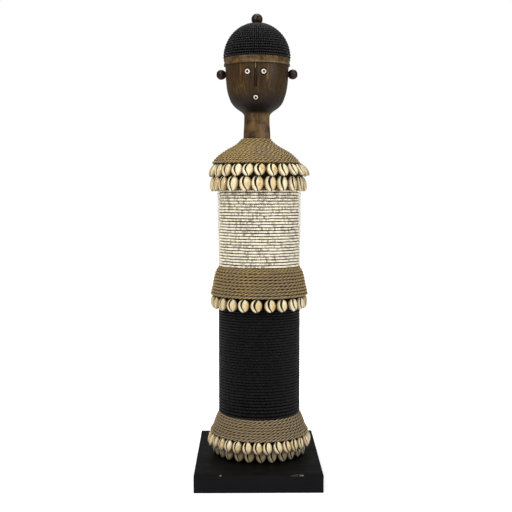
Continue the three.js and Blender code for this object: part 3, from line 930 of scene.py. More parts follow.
def outline_curve(points):
    """A helper curve in the XZ plane that a coil takes its radius and height from."""
    curve = bpy.data.curves.new("outline", "CURVE")
    curve.dimensions = "3D"
    spline = curve.splines.new("POLY")
    spline.points.add(len(points) - 1)
    for target, (radius, height, *front) in zip(spline.points, points):
        target.co = (radius, sum(front), height, 1)
    return show("outline", curve)


def path_length(points):
    """The length of a line through points."""
    return sum((Vector(b[:2]) - Vector(a[:2])).length for a, b in zip(points, points[1:]))


def discard(*helpers):
    """Removes helper objects."""
    for helper in helpers:
        bpy.data.objects.remove(helper)


# ------------------------------------------------------------------ seed beads


def seed_bead(diameter, thickness, sides=6):
    """One seed bead about its thread: a short barrel with soft shoulders."""
    radius, half = diameter / 2, thickness / 2
    outline = [(0.66 * radius, -half), (radius, -0.4 * half), (radius, 0.4 * half), (0.66 * radius, half)]
    mesh = turned("seed_bead", outline, sides)
    soften(mesh, 75)
    return show("seed_bead", mesh)


def string_of_beads(name, node, tree, bead, sizes, outline, pitch, axis, slot, seed, unevenness, left_off=0):
    """Rows of beads that follow the outline, one a pitch above the last, and stand for a node.

    A string that leaves off the last row ends where the next string's first row starts.
    """
    guide = outline_curve(outline)
    piece = grow(name, tree, {
        "Outline": guide, "Axis X": axis, "Rows": round(path_length(outline) / pitch) + 1,
        "Left off": left_off, "Wobble": sizes.wobble * unevenness, "Seed": seed, "Finish": FINISHES[slot],
        "Bead": bead, "Spacing": sizes.spacing, "Tilt": 0.2 * unevenness, "Size change": 0.08 * unevenness,
    })
    discard(guide)
    hand_over(piece, slot, stands_for=[node])


def body_beads(sizes):
    """The white winding, and the black one in two strings."""
    tree, bead = bead_string_tree(), seed_bead(sizes.white_diameter, sizes.thickness)
    half = sizes.white_diameter / 2
    low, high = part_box("white_bead_winding")
    radius = outer_radius("white_bead_winding") - half
    outline = [(radius - 0.4 * MM, low.z + half, 0.6 * MM), (radius + 0.7 * MM, high.z - half, 0.6 * MM)]
    string_of_beads(
        "white_beads_strung", "white_bead_winding", tree, bead, sizes, outline, sizes.white_pitch, BODY_AXIS,
        "white_beads", 3, 1.5)
    discard(bead)
    bead, half = seed_bead(sizes.diameter, sizes.thickness), sizes.diameter / 2
    low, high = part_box("black_bead_winding")
    radius = outer_radius("black_bead_winding") - half
    halfway = (low.z + high.z) / 2
    join = (halfway + sizes.black_pitch - 1 * MM, 1.6 * MM)
    foot = [(low.z + half, HEM_SAG), (low.z + half + 14 * MM, -0.5 * MM), (low.z + 42 * MM, 1.8 * MM)]
    lengths = (
        ("lower", foot + [join], 1),
        ("upper", [join, (high.z - half, 0.4 * MM)], 0),
    )
    for number, (which, heights, left_off) in enumerate(lengths):
        outline = [(radius, height, front) for height, front in heights]
        string_of_beads(
            f"black_beads_strung_{which}", "black_bead_winding", tree, bead, sizes, outline,
            sizes.black_pitch, BODY_AXIS, "black_beads", 5 + number, 0.8, left_off)
    discard(bead)


def cap_beads(sizes):
    """The cap: a spiral of black beads from the rim up to the topknot."""
    tree, bead = bead_string_tree(), seed_bead(sizes.diameter, sizes.thickness)
    low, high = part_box("cap_bead_winding")
    half = sizes.diameter / 2
    across, rise = outer_radius("cap_bead_winding") - half, (high.z - low.z) * 1.04 - 2 * half
    outline = [
        (across * math.cos(angle), low.z + half + rise * math.sin(angle))
        for angle in (math.radians(step) for step in range(0, 84, 3))
    ]
    string_of_beads(
        "cap_beads_strung", "cap_bead_winding", tree, bead, sizes, outline, sizes.cap_pitch, NECK_AXIS,
        "black_beads", 9, 0.7)
    discard(bead)


# ------------------------------------------------------------------ rope coils


# Faces of the rope coils, bottom to top: (radius, height) in millimetres.
CAPE_FACE = [(57.6, 405.6), (56.9, 409.0), (53.5, 413.0), (48.2, 418.0), (40.5, 423.1), (31.3, 428.3),
             (25.0, 432.6), (21.6, 436.0), (20.6, 438.2)]
BELT_FACE = [(64.4, 234.2), (63.6, 240.0), (61.9, 247.5), (60.5, 255.0), (58.7, 262.4), (56.4, 267.9),
             (54.6, 271.4)]
HEM_FACE = [(65.4, 52.2), (64.3, 56.0), (61.6, 61.0), (59.9, 66.5), (58.0, 72.0), (56.0, 76.8), (54.6, 80.9)]


def turn_centres(face, diameter):
    """Where the middle of the rope runs, under the face that its turns make, bottom to top."""
    face = smooth_curve(in_metres(face), 1.5 * MM)
    low, high = face[0].y + diameter / 2, face[-1].y - diameter / 2
    centres = []
    for index, point in enumerate(face):
        before, after = face[max(index - 1, 0)], face[min(index + 1, len(face) - 1)]
        along = (after - before).normalized()
        centre = point + Vector((-along.y, along.x)) * diameter / 2
        if low - 0.05 * MM <= centre.y <= high + 0.05 * MM:
            centres.append(centre)
    first, last = Vector((face[0].x - diameter / 2, low)), Vector((face[-1].x - diameter / 2, high))
    inner = [centre for centre in centres if low < centre.y < high and centre.x < first.x]
    return [tuple(centre) for centre in (first, *inner, last)]


def rope_coils(sizes):
    """Cape, belt and hem: turns of two-ply rope stacked along their outlines."""
    tree = twisted_rope_tree()
    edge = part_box("white_bead_winding")[1].z
    circle = outer_radius("white_bead_winding") - 0.2 * MM
    twisted_ring("cape_foot_cord", tree, BODY_AXIS, circle, edge + 1.5 * MM, 2.6 * MM, "sisal_rope")
    coils = (
        # node, axis, face, how much lower its foot and its top are in front, seed
        ("cape_rope", NECK_AXIS - 1.1 * MM, CAPE_FACE, 0.0, 0.0, 3),
        ("belt_rope", BODY_AXIS, BELT_FACE, -0.2 * MM, 0.0, 5),
        ("hem_rope", BODY_AXIS, HEM_FACE, -1.3 * MM, HEM_SAG, 7),
    )
    for node, axis, face, foot_sag, top_sag, seed in coils:
        centres = turn_centres(face, sizes.diameter)
        bottom, top = centres[0][1], centres[-1][1]
        guide = outline_curve([
            (radius, height, foot_sag + (top_sag - foot_sag) * (height - bottom) / (top - bottom))
            for radius, height in centres])
        piece = grow(node, tree, {
            "Outline": guide, "Axis X": axis, "Rows": round(path_length(centres) / sizes.pitch) + 1,
            "Wobble": 0.9 * MM, "Seed": seed, "Finish": FINISHES["sisal_rope"],
            "Diameter": sizes.diameter, "Lay": sizes.lay, "Step": 1.25 * MM, "Sides": 7,
        })
        discard(guide)
        hand_over(piece, "sisal_rope", stands_for=[node])


def twisted_ring(name, tree, axis, radius, height, diameter, slot="thread", stands_for=()):
    """One ring of thread or cord, two plies twisted together."""
    guide = outline_curve([(radius, height), (radius, height + 0.02 * MM)])
    piece = grow(name, tree, {
        "Outline": guide, "Axis X": axis, "Rows": 1, "Wobble": 0.0,
        "Seed": 1, "Finish": FINISHES[slot], "Diameter": diameter,
        "Lay": 3.6 * diameter, "Step": 0.8 * MM, "Sides": 5,
    })
    discard(guide)
    hand_over(piece, slot, stands_for=stands_for)


# ------------------------------------------------------------------ cowries

SHELL_ROWS = 26               # rings of points in one shell
LOOP_RISE = 0.25 * MM         # how far the loop's middle is above the top of the shell
BELT_SHELL = (15.0 * MM, 6.4 * MM, 0.94)   # width, depth and share of the CAD shell's height


def cowrie_variant(number, sizes):
    """A cowrie that hangs from the origin, its opening on +Y and its back ground flat.

    It is 1 wide, 1 deep and 1 long, and the row that uses it scales it to its own size.
    """
    rng = random.Random(40 + number)
    slit_top, slit_middle = rng.uniform(-0.04, 0.06), rng.uniform(-0.46, -0.36)
    slit_foot = rng.uniform(0.16, 0.28)
    slit_half = sizes.slit / (2 * 14 * MM) * rng.uniform(0.85, 1.15)
    belly = rng.uniform(0.44, 0.54)
    point = rng.uniform(0.56, 0.68)
    rings, marks = [], {"slit": [], "across": [], "along": []}
    for row in range(SHELL_ROWS + 1):
        share = (row + 0.3) / (SHELL_ROWS + 0.6)
        along = 0.5 - 0.5 * math.cos(math.pi * share)
        reach = (belly - along) / belly if along < belly else (along - belly) / (1 - belly)
        swell = 1 - abs(reach) ** 2.1
        half = 0.5 * swell ** (0.42 if along < belly else point)
        face, back = 0.5 * swell ** 0.5, 0.46 * swell ** 0.5
        bend = slit_top * (1 - along) ** 2 + 2 * slit_middle * along * (1 - along) + slit_foot * along ** 2
        slit = bend * min(1.0, half / 0.3)
        opening = min(slit_half * (1.25 - 0.85 * along), 0.4 * half)
        tooth = (1 if row % 2 else -1) * min(1.0, swell * 1.6)
        left, right = slit - opening, slit + opening
        bite, ridge = 0.014 * tooth, 0.02 + 0.012 * tooth
        narrow_lip = ((0.12, 0.0), (0.38, 0.05), (0.68, 0.06), (0.9, ridge))
        broad_lip = ((0.08, ridge), (0.26, 0.09), (0.48, 0.13), (0.7, 0.1), (0.9, 0.02))
        # Each column's middle number is the slit's painted shade: 1 in the opening, 0.45 on the lips' inner
        # edges.
        columns = [
            (-half, 0, 0),
            *((-half + (left + half) * part, 0, lift) for part, lift in narrow_lip),
            (left + bite, 0.45, -0.02),
            (left + opening * 0.35, 1, -0.26 * swell),
            (slit, 1, -0.42 * swell),
            (right - opening * 0.35, 1, -0.26 * swell),
            (right - bite, 0.45, -0.02),
            *((right + (half - right) * part, 0, lift) for part, lift in broad_lip),
            (half, 0, 0),
        ]
        points = []
        for x, dark, lift in columns:
            arch = max(0.0, 1 - abs(x / half) ** 2.4) ** 0.5
            points.append((x / half, face * (0.82 * arch + 0.08) + lift * swell, float(dark)))
        for part in (0.93, 0.72, 0.25, -0.25, -0.72, -0.93):
            points.append((part, -back if abs(part) < 0.9 else -0.62 * back, 0.0))
        rings.append([Vector((-part * half, depth, -along)) for part, depth, dark in points])
        marks["slit"] += [dark for part, depth, dark in points]
        marks["across"] += [part for part, depth, dark in points]
        marks["along"] += [along] * len(points)
    mesh = skin(f"cowrie_variant_{number}", rings, ring_closes=False, marks=marks)
    return bpy.data.objects.new(mesh.name, mesh)


def thread_loop(sizes):
    """The loop that ties a shell to its thread: an upright oval of thin thread."""
    rings = []
    for step in range(10):
        angle = TURN * step / 10
        centre = Vector((0, 0.85 * MM * math.cos(angle), 1.2 * MM * math.sin(angle) + LOOP_RISE))
        outward = Vector((0, math.cos(angle), math.sin(angle)))
        ring = []
        for side in range(5):
            spin = TURN * side / 5
            across = outward * math.cos(spin) + Vector((1, 0, 0)) * math.sin(spin)
            ring.append(centre + across * sizes.thread_diameter * 0.3)
        rings.append(ring)
    return show("thread_loop", skin("thread_loop", rings))


class ShellKit:
    """What every row of shells is made from: the variants, the loop and the tree."""

    def __init__(self, shells, ropes):
        self.lean = shells.lean
        self.kinds = shells.variants
        self.collection = bpy.data.collections.new("cowrie_variants")
        bpy.context.scene.collection.children.link(self.collection)
        for number in range(shells.variants):
            self.collection.objects.link(cowrie_variant(number, shells))
        self.loop = thread_loop(ropes)
        self.tree = shell_row_tree()

    def hang(self, name, axis, count, first, radius, height, tilt, splay, shell_size, seed):
        """A row of shells, or one alone. splay is how much more they tilt at the right and in front."""
        return grow(name, self.tree, {
            "Shells": self.collection, "Loop": self.loop, "Axis X": axis, "Count": count,
            "Gap": TURN / max(count, 1), "First": first, "Radius": radius, "Height": height,
            "Tilt": tilt, "Right splay": splay[0], "Front splay": splay[1], "Size": shell_size,
            "Lean": self.lean, "Kinds": self.kinds, "Seed": seed,
            "Shell finish": FINISHES["cowrie"], "Thread finish": FINISHES["thread"],
        })

    def put_away(self):
        """Removes the variants and the loop."""
        discard(self.loop, *self.collection.objects)
        bpy.data.collections.remove(self.collection)


def sewn_rows(shells, ropes):
    """The two rows under the cape and the two under the hem, each with its ring of thread."""
    kit, rope_tree = ShellKit(shells, ropes), twisted_rope_tree()
    left = BODY_AXIS - 1.7 * MM
    rows = (
        # node, axis, shells, first angle, radius of the tops, tilt, splay to the right and in front,
        # width, depth, length, seed
        ("cape_upper_cowries", left, 25, 1.9, 57.6, 25, 6, 0, 14.8, 6.4, 17.0, 21),
        ("cape_lower_cowries", left, 23, -0.8, 58.4, 10, 0, 0, 15.8, 6.6, 19.7, 22),
        ("hem_upper_cowries", BODY_AXIS, 31, -3.2, 63.0, 14, 0, 0, 12.4, 6.0, 16.2, 23),
        ("hem_lower_cowries", BODY_AXIS, 26, 1.5, 57.8, 1, 0, 9, 13.2, 6.0, 17.6, 24),
    )
    for node, axis, count, first, radius, tilt, right, front, width, depth, tall, seed in rows:
        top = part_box(node)[1].z
        piece = kit.hang(
            node, axis, count, math.radians(first), radius * MM, top, math.radians(tilt),
            (math.radians(right), math.radians(front)), (width * MM, depth * MM, tall * MM), seed)
        hand_over(piece, "cowrie", stands_for=[node])
        thread = node.replace("cowries", "thread")
        twisted_ring(thread, rope_tree, axis, radius * MM, top + 0.7 * MM, ropes.thread_diameter)
    kit.put_away()


def belt_row(shells, ropes):
    """The belt's shells, one piece on each swinging body, and the ring of thread that they hang on."""
    kit, rope_tree = ShellKit(shells, ropes), twisted_rope_tree()
    hinges = {joint["child"]: joint["pos_m"] for joint in frame["joints"]}
    bodies = frame["record"]["behaviour"]["bodies"]
    body_of_node = {node: body for body, nodes in bodies.items() for node in nodes}
    width, depth, share = BELT_SHELL
    for index, node in enumerate(BELT_SHELLS):
        body = body_of_node[node]
        x, y, hinge_height = hinges[body]
        hinge_circle = math.hypot(x - BODY_AXIS, y)
        low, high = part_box(node)
        piece = kit.hang(
            node, BODY_AXIS, 1, math.atan2(x - BODY_AXIS, -y), hinge_circle, high.z,
            math.radians(3), (0.0, 0.0), (width, depth, share * (high.z - low.z)), 60 + index)
        hand_over(piece, "cowrie", body=body, stands_for=[node])
    twisted_ring(
        "belt_shell_cord", rope_tree, BODY_AXIS, hinge_circle, hinge_height, ropes.thread_diameter,
        stands_for=["belt_shell_cord"])
    kit.put_away()


# ------------------------------------------------------------------ plinth and screws


def box_sheet(place):
    """A bmesh cube one unit wide, set to a place and size."""
    work = bmesh.new()
    bmesh.ops.create_cube(work, size=1, matrix=place)
    return work


def as_mesh(name, work):
    """Ends the work on a bmesh."""
    mesh = bpy.data.meshes.new(name)
    work.to_mesh(mesh)
    work.free()
    return mesh


def cut_out(piece, tools):
    """Cuts closed tools out of a piece."""
    for tool in tools:
        modifier = piece.modifiers.new("cut", "BOOLEAN")
        modifier.operation = "DIFFERENCE"
        modifier.solver = "EXACT"
        modifier.object = tool
    graph = bpy.context.evaluated_depsgraph_get()
    mesh = bpy.data.meshes.new_from_object(piece.evaluated_get(graph), depsgraph=graph)
    piece.modifiers.clear()
    piece.data = mesh
    discard(*tools)


def plinth_block():
    """A painted block with softened edges, slightly uneven faces and counterbored screw holes."""
    low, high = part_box("plinth")
    work = box_sheet(Matrix.Identity(4))
    for vertex in work.verts:
        vertex.co = Vector([
            low[axis] if vertex.co[axis] < 0 else high[axis] for axis in range(3)])
    bmesh.ops.bevel(
        work, geom=work.edges[:], offset=1.3 * MM, segments=4, profile=0.5, affect="EDGES",
        clamp_overlap=True)
    long_edges = [edge for edge in work.edges if edge.calc_length() > 15 * MM]
    bmesh.ops.subdivide_edges(work, edges=long_edges, cuts=15, use_grid_fill=True)
    for vertex in work.verts:
        if vertex.co.z > low.z + 1.4 * MM:
            inward = (Vector((0, 0, high.z / 2)) - vertex.co).normalized()
            vertex.co += inward * (0.12 * MM + 0.12 * MM * noise.noise(vertex.co * 35))
    piece = show("plinth", as_mesh("plinth", work))
    tools = []
    for end in ("front", "back"):
        screw = middle(f"mounting_screw_{end}")
        place = Matrix.Translation((screw.x, screw.y, 0))
        depth = 8 * MM
        outline = [(5.6 * MM, -1 * MM), (5.6 * MM, depth), (2.6 * MM, depth), (2.6 * MM, high.z + MM)]
        tools.append(show("hole", turned("hole", outline, 32, place)))
    cut_out(piece, tools)
    soften(piece.data, 50)
    hand_over(piece, "black_paint", stands_for=["plinth"])


def wood_screws():
    """Countersunk-in wood screws: a flat slotted head, a plain neck and a coarse thread to a point."""
    for end in ("front", "back"):
        node = f"mounting_screw_{end}"
        low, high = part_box(node)
        centre = middle(node)
        head, core, crest = 4.8 * MM, 1.7 * MM, 2.2 * MM
        under_head = low.z + 3.5 * MM
        thread_start = under_head + 14 * MM

        def winding(radius, height, angle):
            """The thread's ridge stands out of the core once a turn."""
            if height < thread_start or radius < core * 0.2:
                return radius
            wave = (height / (2.2 * MM) - angle / TURN) % 1
            taper = min(1.0, (high.z - height) / (5 * MM))
            return (core + (crest - core) * max(0.0, 1 - abs(wave - 0.5) * 4)) * taper

        outline = [(0.3 * MM, low.z), (head - 0.4 * MM, low.z), (head, low.z + 0.4 * MM),
                   (head, under_head - 0.4 * MM), (head - 0.4 * MM, under_head), (crest, under_head),
                   (crest, thread_start - 0.1 * MM)]
        steps = 90
        outline += [(core, thread_start + (high.z - thread_start) * step / steps) for step in range(steps)]
        place = Matrix.Translation((centre.x, centre.y, 0))
        piece = show(node, turned(node, outline, 20, place, shape=winding))
        slot_size = Matrix.Diagonal((12 * MM, 1.3 * MM, 2.6 * MM, 1))
        slot_place = Matrix.Translation((centre.x, centre.y, low.z)) @ slot_size
        cut_out(piece, [show("slot", as_mesh("slot", box_sheet(slot_place)))])
        soften(piece.data, 30)
        hand_over(piece, "steel", stands_for=[node])


# ------------------------------------------------------------------ core, backing and cloth


BACKING = 51.7 * MM   # radius of the cloth under the beads


def wound_cloth(name, outline, thickness, nodes, seed, step=1.2 * MM):
    """Cloth strip wound on the body: a thin sleeve with overlapping edges and small folds."""
    rows = smooth_curve(outline, step)
    inner = [(point.x - thickness, point.y) for point in reversed(rows)]
    turns_up = 9 * MM

    def folds(radius, height, angle):
        """Each turn's edge lies on the turn below, with creases here and there."""
        lap = ((height / turns_up) - angle / TURN) % 1
        crease = noise.noise(Vector((math.cos(angle) * 6, math.sin(angle) * 6, height * 160 + seed)))
        return radius - thickness * 0.25 * lap + 0.12 * MM * crease

    loop = [(point.x, point.y) for point in rows] + inner
    mesh = turned(name, loop, 90, Matrix.Translation((BODY_AXIS, 0, 0)), hoop=True, shape=folds)
    hand_over(show(name, mesh), "black_cloth", stands_for=nodes)


def core_and_wraps():
    """The wooden core, the dark backing under the beads and the cloth under ropes and shells."""
    frame["nodes"]["body_core"].data.materials.clear()
    frame["nodes"]["body_core"].data.materials.append(FINISHES["raw_wood"])
    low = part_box("black_bead_winding")[0].z + 1.6 * HEM_SAG
    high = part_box("white_bead_winding")[1].z
    wound_cloth("bead_backing_cloth", [(BACKING, low), (BACKING, high)], 0.7 * MM, [], 4, 4 * MM)
    for node in ("cape_shell_tape", "hem_shell_tape"):
        bottom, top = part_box(node)
        radius = outer_radius(node)
        wound_cloth(node, [(radius, bottom.z), (radius, top.z)], 1.2 * MM, [node], 8)
    for node, face, inset in (("belt_underwrap", BELT_FACE, 3.3 * MM), ("hem_underwrap", HEM_FACE, 4.6 * MM)):
        bottom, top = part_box(node)
        under = [(radius * MM - inset, height * MM) for radius, height in face[:-2]]
        under[0] = (under[0][0], bottom.z)
        under[-1] = (under[-1][0], top.z)
        wound_cloth(node, under, 1.0 * MM, [node], 12)


# ------------------------------------------------------------------ head

# Outlines of the head, bottom to top: (radius, height) in millimetres.
NECK_AND_FACE = [
    (17.9, 436.8), (17.5, 446.5), (17.0, 455.0), (16.8, 463.0), (17.2, 469.0), (19.8, 472.5), (23.6, 475.2),
    (27.1, 477.7), (30.6, 481.0), (33.8, 485.5), (36.9, 493.3), (38.9, 501.0), (40.0, 508.7), (40.7, 516.0),
    (41.1, 524.0), (41.4, 531.5),
]
BROW_BAND = [(42.9, 532.0), (43.2, 533.6), (42.8, 535.6), (42.4, 536.9), (42.9, 538.2), (43.3, 539.8),
             (43.0, 541.2)]
NOSE_TOP, NOSE_FOOT, NECK_TOP = 531.2 * MM, 502.8 * MM, 470 * MM


def face_seats():
    """Where the ring beads sit: angle from the face's middle, and height."""
    seats = []
    for name in ("eye_bead_left", "eye_bead_right", "mouth_bead"):
        centre = middle(name)
        seats.append((math.atan2(centre.x - NECK_AXIS, -centre.y) - HEAD_TURN, centre.z))
    return seats


def face_columns():
    """Angles round the head from the face's middle, closer together on the face."""
    fine, coarse = 56, 66
    front = math.radians(48)
    angles = [front * step / fine for step in range(-fine, fine)]
    return angles + [front + (TURN - 2 * front) * step / (2 * coarse) for step in range(2 * coarse)]


def carved_head():
    """Tenon, neck, face, brow band and skull, carved from one piece of wood."""
    tenon_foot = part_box("head_and_neck")[0].z
    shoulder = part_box("body_core")[1].z + 0.3 * MM
    cap_low, cap_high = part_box("cap_bead_winding")
    seats = face_seats()
    metres = in_metres(NECK_AND_FACE)
    skull_across = outer_radius("cap_bead_winding") - 3.7 * MM
    skull_rise = cap_high.z - cap_low.z - 2.6 * MM
    outline = [Vector((13 * MM, tenon_foot)), Vector((13 * MM, shoulder)), Vector((16.5 * MM, shoulder)),
               Vector((16.5 * MM, 436.6 * MM))]
    outline += smooth_curve(metres, 0.85 * MM)
    outline += smooth_curve(in_metres(BROW_BAND), 0.5 * MM)
    outline += [
        Vector((skull_across * math.cos(angle), cap_low.z + skull_rise * math.sin(angle)))
        for angle in (math.radians(step) for step in range(0, 88, 6))
    ]
    band_low, band_high = BROW_BAND[0][1] * MM, BROW_BAND[-1][1] * MM
    rings, band, groove, worn = [], [], [], []
    for radius, height in outline:
        ring = []
        on_face = metres[0][1] <= height < band_low
        in_band = band_low <= height <= band_high
        for angle in face_columns():
            reach, dark = radius, 0.0
            if on_face:
                reach, dark = carve_face(radius, height, angle, seats)
            elif in_band:
                reach += 0.12 * MM * noise.noise(Vector((angle * 5, height * 300, 3)))
                # Painted shade along the band's lower edge, where it overhangs the face.
                dark = 0.75 * max(0.0, 1 - abs(height - band_low) / (0.5 * MM))
            # Painted highlight: the nose top gets the band's lighter colour and a pale colour, and the band's
            # lower right edge a fainter pale colour.
            nose_top_highlight = on_face and abs(angle) * radius < 0.85 * MM and 0 < NOSE_TOP - height < 5.5 * MM
            band.append(1.0 if in_band or nose_top_highlight else 0.0)
            band_edge_highlight = 1 - smooth_step(abs(height - band_low - 1.3 * MM), 0.2 * MM, 1.0 * MM)
            band_edge_highlight *= 1 - smooth_step(abs(math.remainder(angle - 0.5, TURN)), 0.4, 1.0)
            worn.append(1.0 if nose_top_highlight else 0.3 * band_edge_highlight if in_band else 0.0)
            groove.append(dark)
            direction = Vector((math.sin(angle), -math.cos(angle)))
            ring.append(HEAD_PLACE @ Vector((direction.x * reach, direction.y * reach, height)))
        rings.append(ring)
    marks = {"band": band, "groove": groove, "worn": worn}
    mesh = skin("head_and_neck", rings, ring_closes=False, marks=marks)
    soften(mesh, 55)
    hand_over(show("head_and_neck", mesh), "stained_wood", stands_for=["head_and_neck"])


def smooth_step(value, low, high):
    """0 below low, 1 above high, and a soft ramp between."""
    share = min(1.0, max(0.0, (value - low) / (high - low)))
    return share * share * (3 - 2 * share)


def carve_face(radius, height, angle, seats):
    """The radius after carving, and how much painted shade it gets: facets, nose ridge and seats."""
    on_neck = height < NECK_TOP
    sides = 11 if on_neck else 19
    corner = (angle + 0.3) % (TURN / sides) - math.pi / sides
    flat = radius * math.cos(math.pi / sides) / math.cos(corner)
    share = 0.45 if on_neck else 0.2
    reach = radius + (flat - radius) * share
    reach += 0.22 * MM * noise.noise(Vector((math.sin(angle) * 3, math.cos(angle) * 3, height * 45)))
    dark = 0.0
    aside = abs(math.remainder(angle, TURN)) * radius
    length_share = (NOSE_TOP - height) / (NOSE_TOP - NOSE_FOOT)
    if -0.02 < length_share < 1.06 and aside < 6 * MM:
        half = (0.75 + 0.35 * length_share) * MM
        stands = (1.0 + 0.9 * length_share) * MM * smooth_step(1.03 - length_share, 0, 0.06)
        reach += stands * (1 - smooth_step(aside, half * 0.45, half))
        # Painted shade: dark lines beside the nose ridge, and a darker lower ridge.
        beside = 1 - smooth_step(abs(aside - half * 1.3), 0.3 * MM, 0.9 * MM)
        dark = max(dark, beside * smooth_step(1.05 - length_share, 0, 0.05))
        flank = 1 - smooth_step(aside, half, 1.5 * half)
        dark = max(dark, 0.55 * smooth_step(length_share, 0.2, 0.4) * flank)
    for seat_angle, seat_height in seats:
        across = math.remainder(angle - seat_angle, TURN) * radius
        distance = math.hypot(across, height - seat_height)
        reach -= 0.7 * MM * (1 - smooth_step(distance, 3.5 * MM, 4.3 * MM))
        # Painted shade in a ring round each seat.
        dark = max(dark, 1 - smooth_step(distance, 4.3 * MM, 5.4 * MM))
    return reach, dark


def ring_beads_and_nails():
    """Eyes and mouth: a white ring in a shallow seat, held by a dark nail with a domed head."""
    tilts = {"eye_bead_left": 0, "eye_bead_right": 0, "mouth_bead": 20}
    for node, tilt in tilts.items():
        centre = middle(node)
        aside = Vector((centre.x - NECK_AXIS, centre.y, 0)).normalized()
        drop = math.radians(tilt)
        place = facing(centre, aside * math.cos(drop) - Vector((0, 0, math.sin(drop))))
        radius, half, hole = (2.85 if node == "mouth_bead" else 3.15) * MM, 1.1 * MM, 1.0 * MM
        corners = [(hole + 0.2 * MM, -half), (radius, -half), (radius, half), (hole, half), (hole, -half)]
        loop = rounded([*corners, corners[0], corners[1]], 0.75 * MM, 4)[1:-1]
        turned_piece(node, loop, 40, "ring_bead", place, hoop=True)
        nail = node.replace("bead", "nail")
        shank, head = 0.7 * MM, 1.45 * MM
        outline = [
            (0.05 * MM, -11 * MM), (shank, -9.5 * MM), (shank, half + 0.1 * MM),
            (head, half + 0.1 * MM), (head, half + 0.35 * MM),
            (head * 0.75, half + 0.6 * MM), (head * 0.3, half + 0.72 * MM),
        ]
        turned_piece(nail, outline, 20, "nail", place)


def drilled_bead(node, peg_node, radius, centre, outward, hole, low_end):
    """A turned wooden bead with a flat drilled end, and the peg that holds it."""
    place = facing(centre, outward)
    high_end = math.sqrt(radius ** 2 - (hole + 0.6 * MM) ** 2)
    low_angle, high_angle = math.asin(low_end / radius), math.asin(high_end / radius)
    outer = []
    for step in range(19):
        angle = low_angle + (high_angle - low_angle) * step / 18
        outer.append((radius * math.cos(angle), radius * math.sin(angle)))
    loop = [*outer, (hole, high_end - 0.4 * MM), (hole, low_end)]

    def worn(reach, height, angle):
        """Turned by hand, so not quite round."""
        spot = Vector((math.cos(angle) * 1.6, math.sin(angle) * 1.6, height * 240 + centre.x * 90))
        return reach + 0.22 * MM * noise.noise(spot)

    turned_piece(node, loop, 40, "dark_bead", place, hoop=True, shape=worn)
    low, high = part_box(peg_node)
    peg_length = max(high - low)
    end = high_end + 0.35 * MM
    peg = hole - 0.3 * MM
    outline = [(0.6 * peg, end - peg_length), (peg, end - peg_length + 1.2 * MM), (peg, end - 0.7 * MM),
               (0.8 * peg, end - 0.2 * MM), (0.4 * peg, end)]
    turned_piece(peg_node, outline, 24, "dark_bead", place)


def wooden_beads():
    """Topknot and ears."""
    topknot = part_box("topknot_bead")
    radius, hole = 7.4 * MM, 2.2 * MM
    centre = Vector((NECK_AXIS, 0, topknot[1].z - math.sqrt(radius ** 2 - hole ** 2)))
    up = Vector((0, 0, 1))
    drilled_bead("topknot_bead", "topknot_peg", radius, centre, up, hole, topknot[0].z - centre.z)
    for side in ("left", "right"):
        node = f"ear_bead_{side}"
        box_middle = middle(node)
        outward = Vector((box_middle.x - NECK_AXIS, box_middle.y, 0)).normalized()
        ear = Vector((NECK_AXIS, 0, box_middle.z)) + outward * 46.6 * MM
        drilled_bead(node, f"ear_peg_{side}", 6.5 * MM, ear, outward, 2.0 * MM, -5.9 * MM)


# ------------------------------------------------------------------ stage


def add_light(name, place, target, width, power, tint):
    """A square soft light."""
    lamp = bpy.data.lights.new(name, "AREA")
    lamp.shape = "SQUARE"
    lamp.size = width
    lamp.energy = power
    lamp.color = tint
    light = show(name, lamp)
    light.location = place
    light.rotation_euler = (Vector(target) - Vector(place)).to_track_quat("-Z", "Y").to_euler()


def pale_world():
    """Soft white light from all round, and a white background."""
    world = bpy.data.worlds.new("soft_white")
    bpy.context.scene.world = world
    world.use_nodes = True
    tree = world.node_tree
    background = tree.nodes["Background"]
    background.inputs["Color"].default_value = (1, 1, 1, 1)
    seen = wire(tree, "ShaderNodeLightPath").outputs["Is Camera Ray"]
    tree.links.new(remap(tree, seen, 0, 1, 0.3, 1.0), background.inputs["Strength"])


def set_stage(sizes):
    """Floor, lights and camera."""
    half = 6.0
    mesh = bpy.data.meshes.new("floor")
    corners = [(-half, -half, 0), (half, -half, 0), (half, half, 0), (-half, half, 0)]
    mesh.from_pydata(corners, [], [(0, 1, 2, 3)])
    floor = show("floor", mesh)
    finish = Finish("floor_white", 0.7, specular=0.2)
    finish.paint(finish.mix(finish.noise(3, 2), (0.86, 0.86, 0.86), (0.9, 0.9, 0.9)))
    away = wire(finish.tree, "ShaderNodeVectorMath", {0: finish.place}, operation="LENGTH").outputs["Value"]
    finish.shader.inputs["Emission Color"].default_value = (1, 1, 1, 1)
    seen = wire(finish.tree, "ShaderNodeLightPath").outputs["Is Camera Ray"]
    glow = times(finish.tree, remap(finish.tree, away, 0.1, 0.45, 0.4, 1.0), seen)
    finish.tree.links.new(glow, finish.shader.inputs["Emission Strength"])
    mesh.materials.append(finish.material)
    pale_world()
    heart = (0, 0, 0.3)
    add_light("key", (-0.9, -1.3, 1.5), heart, 0.9, 26, (1.0, 0.985, 0.96))
    add_light("fill", (1.3, -1.0, 0.9), heart, 1.0, 13, (0.97, 0.985, 1.0))
    add_light("top", (0.1, 0.2, 1.9), heart, 1.2, 14, (1, 1, 1))
    lens = bpy.data.cameras.new("camera")
    lens.sensor_width = 36
    lens.lens = sizes.focal_length
    lens.clip_end = 50
    camera = show("camera", lens)
    camera.location = (-sizes.camera_side, -sizes.camera_distance, sizes.camera_height)
    camera.rotation_euler = (math.pi / 2 - sizes.camera_down, 0, -sizes.camera_right)
    bpy.context.scene.camera = camera
    bpy.context.scene.view_settings.view_transform = "Standard"


# ------------------------------------------------------------------ the add-on


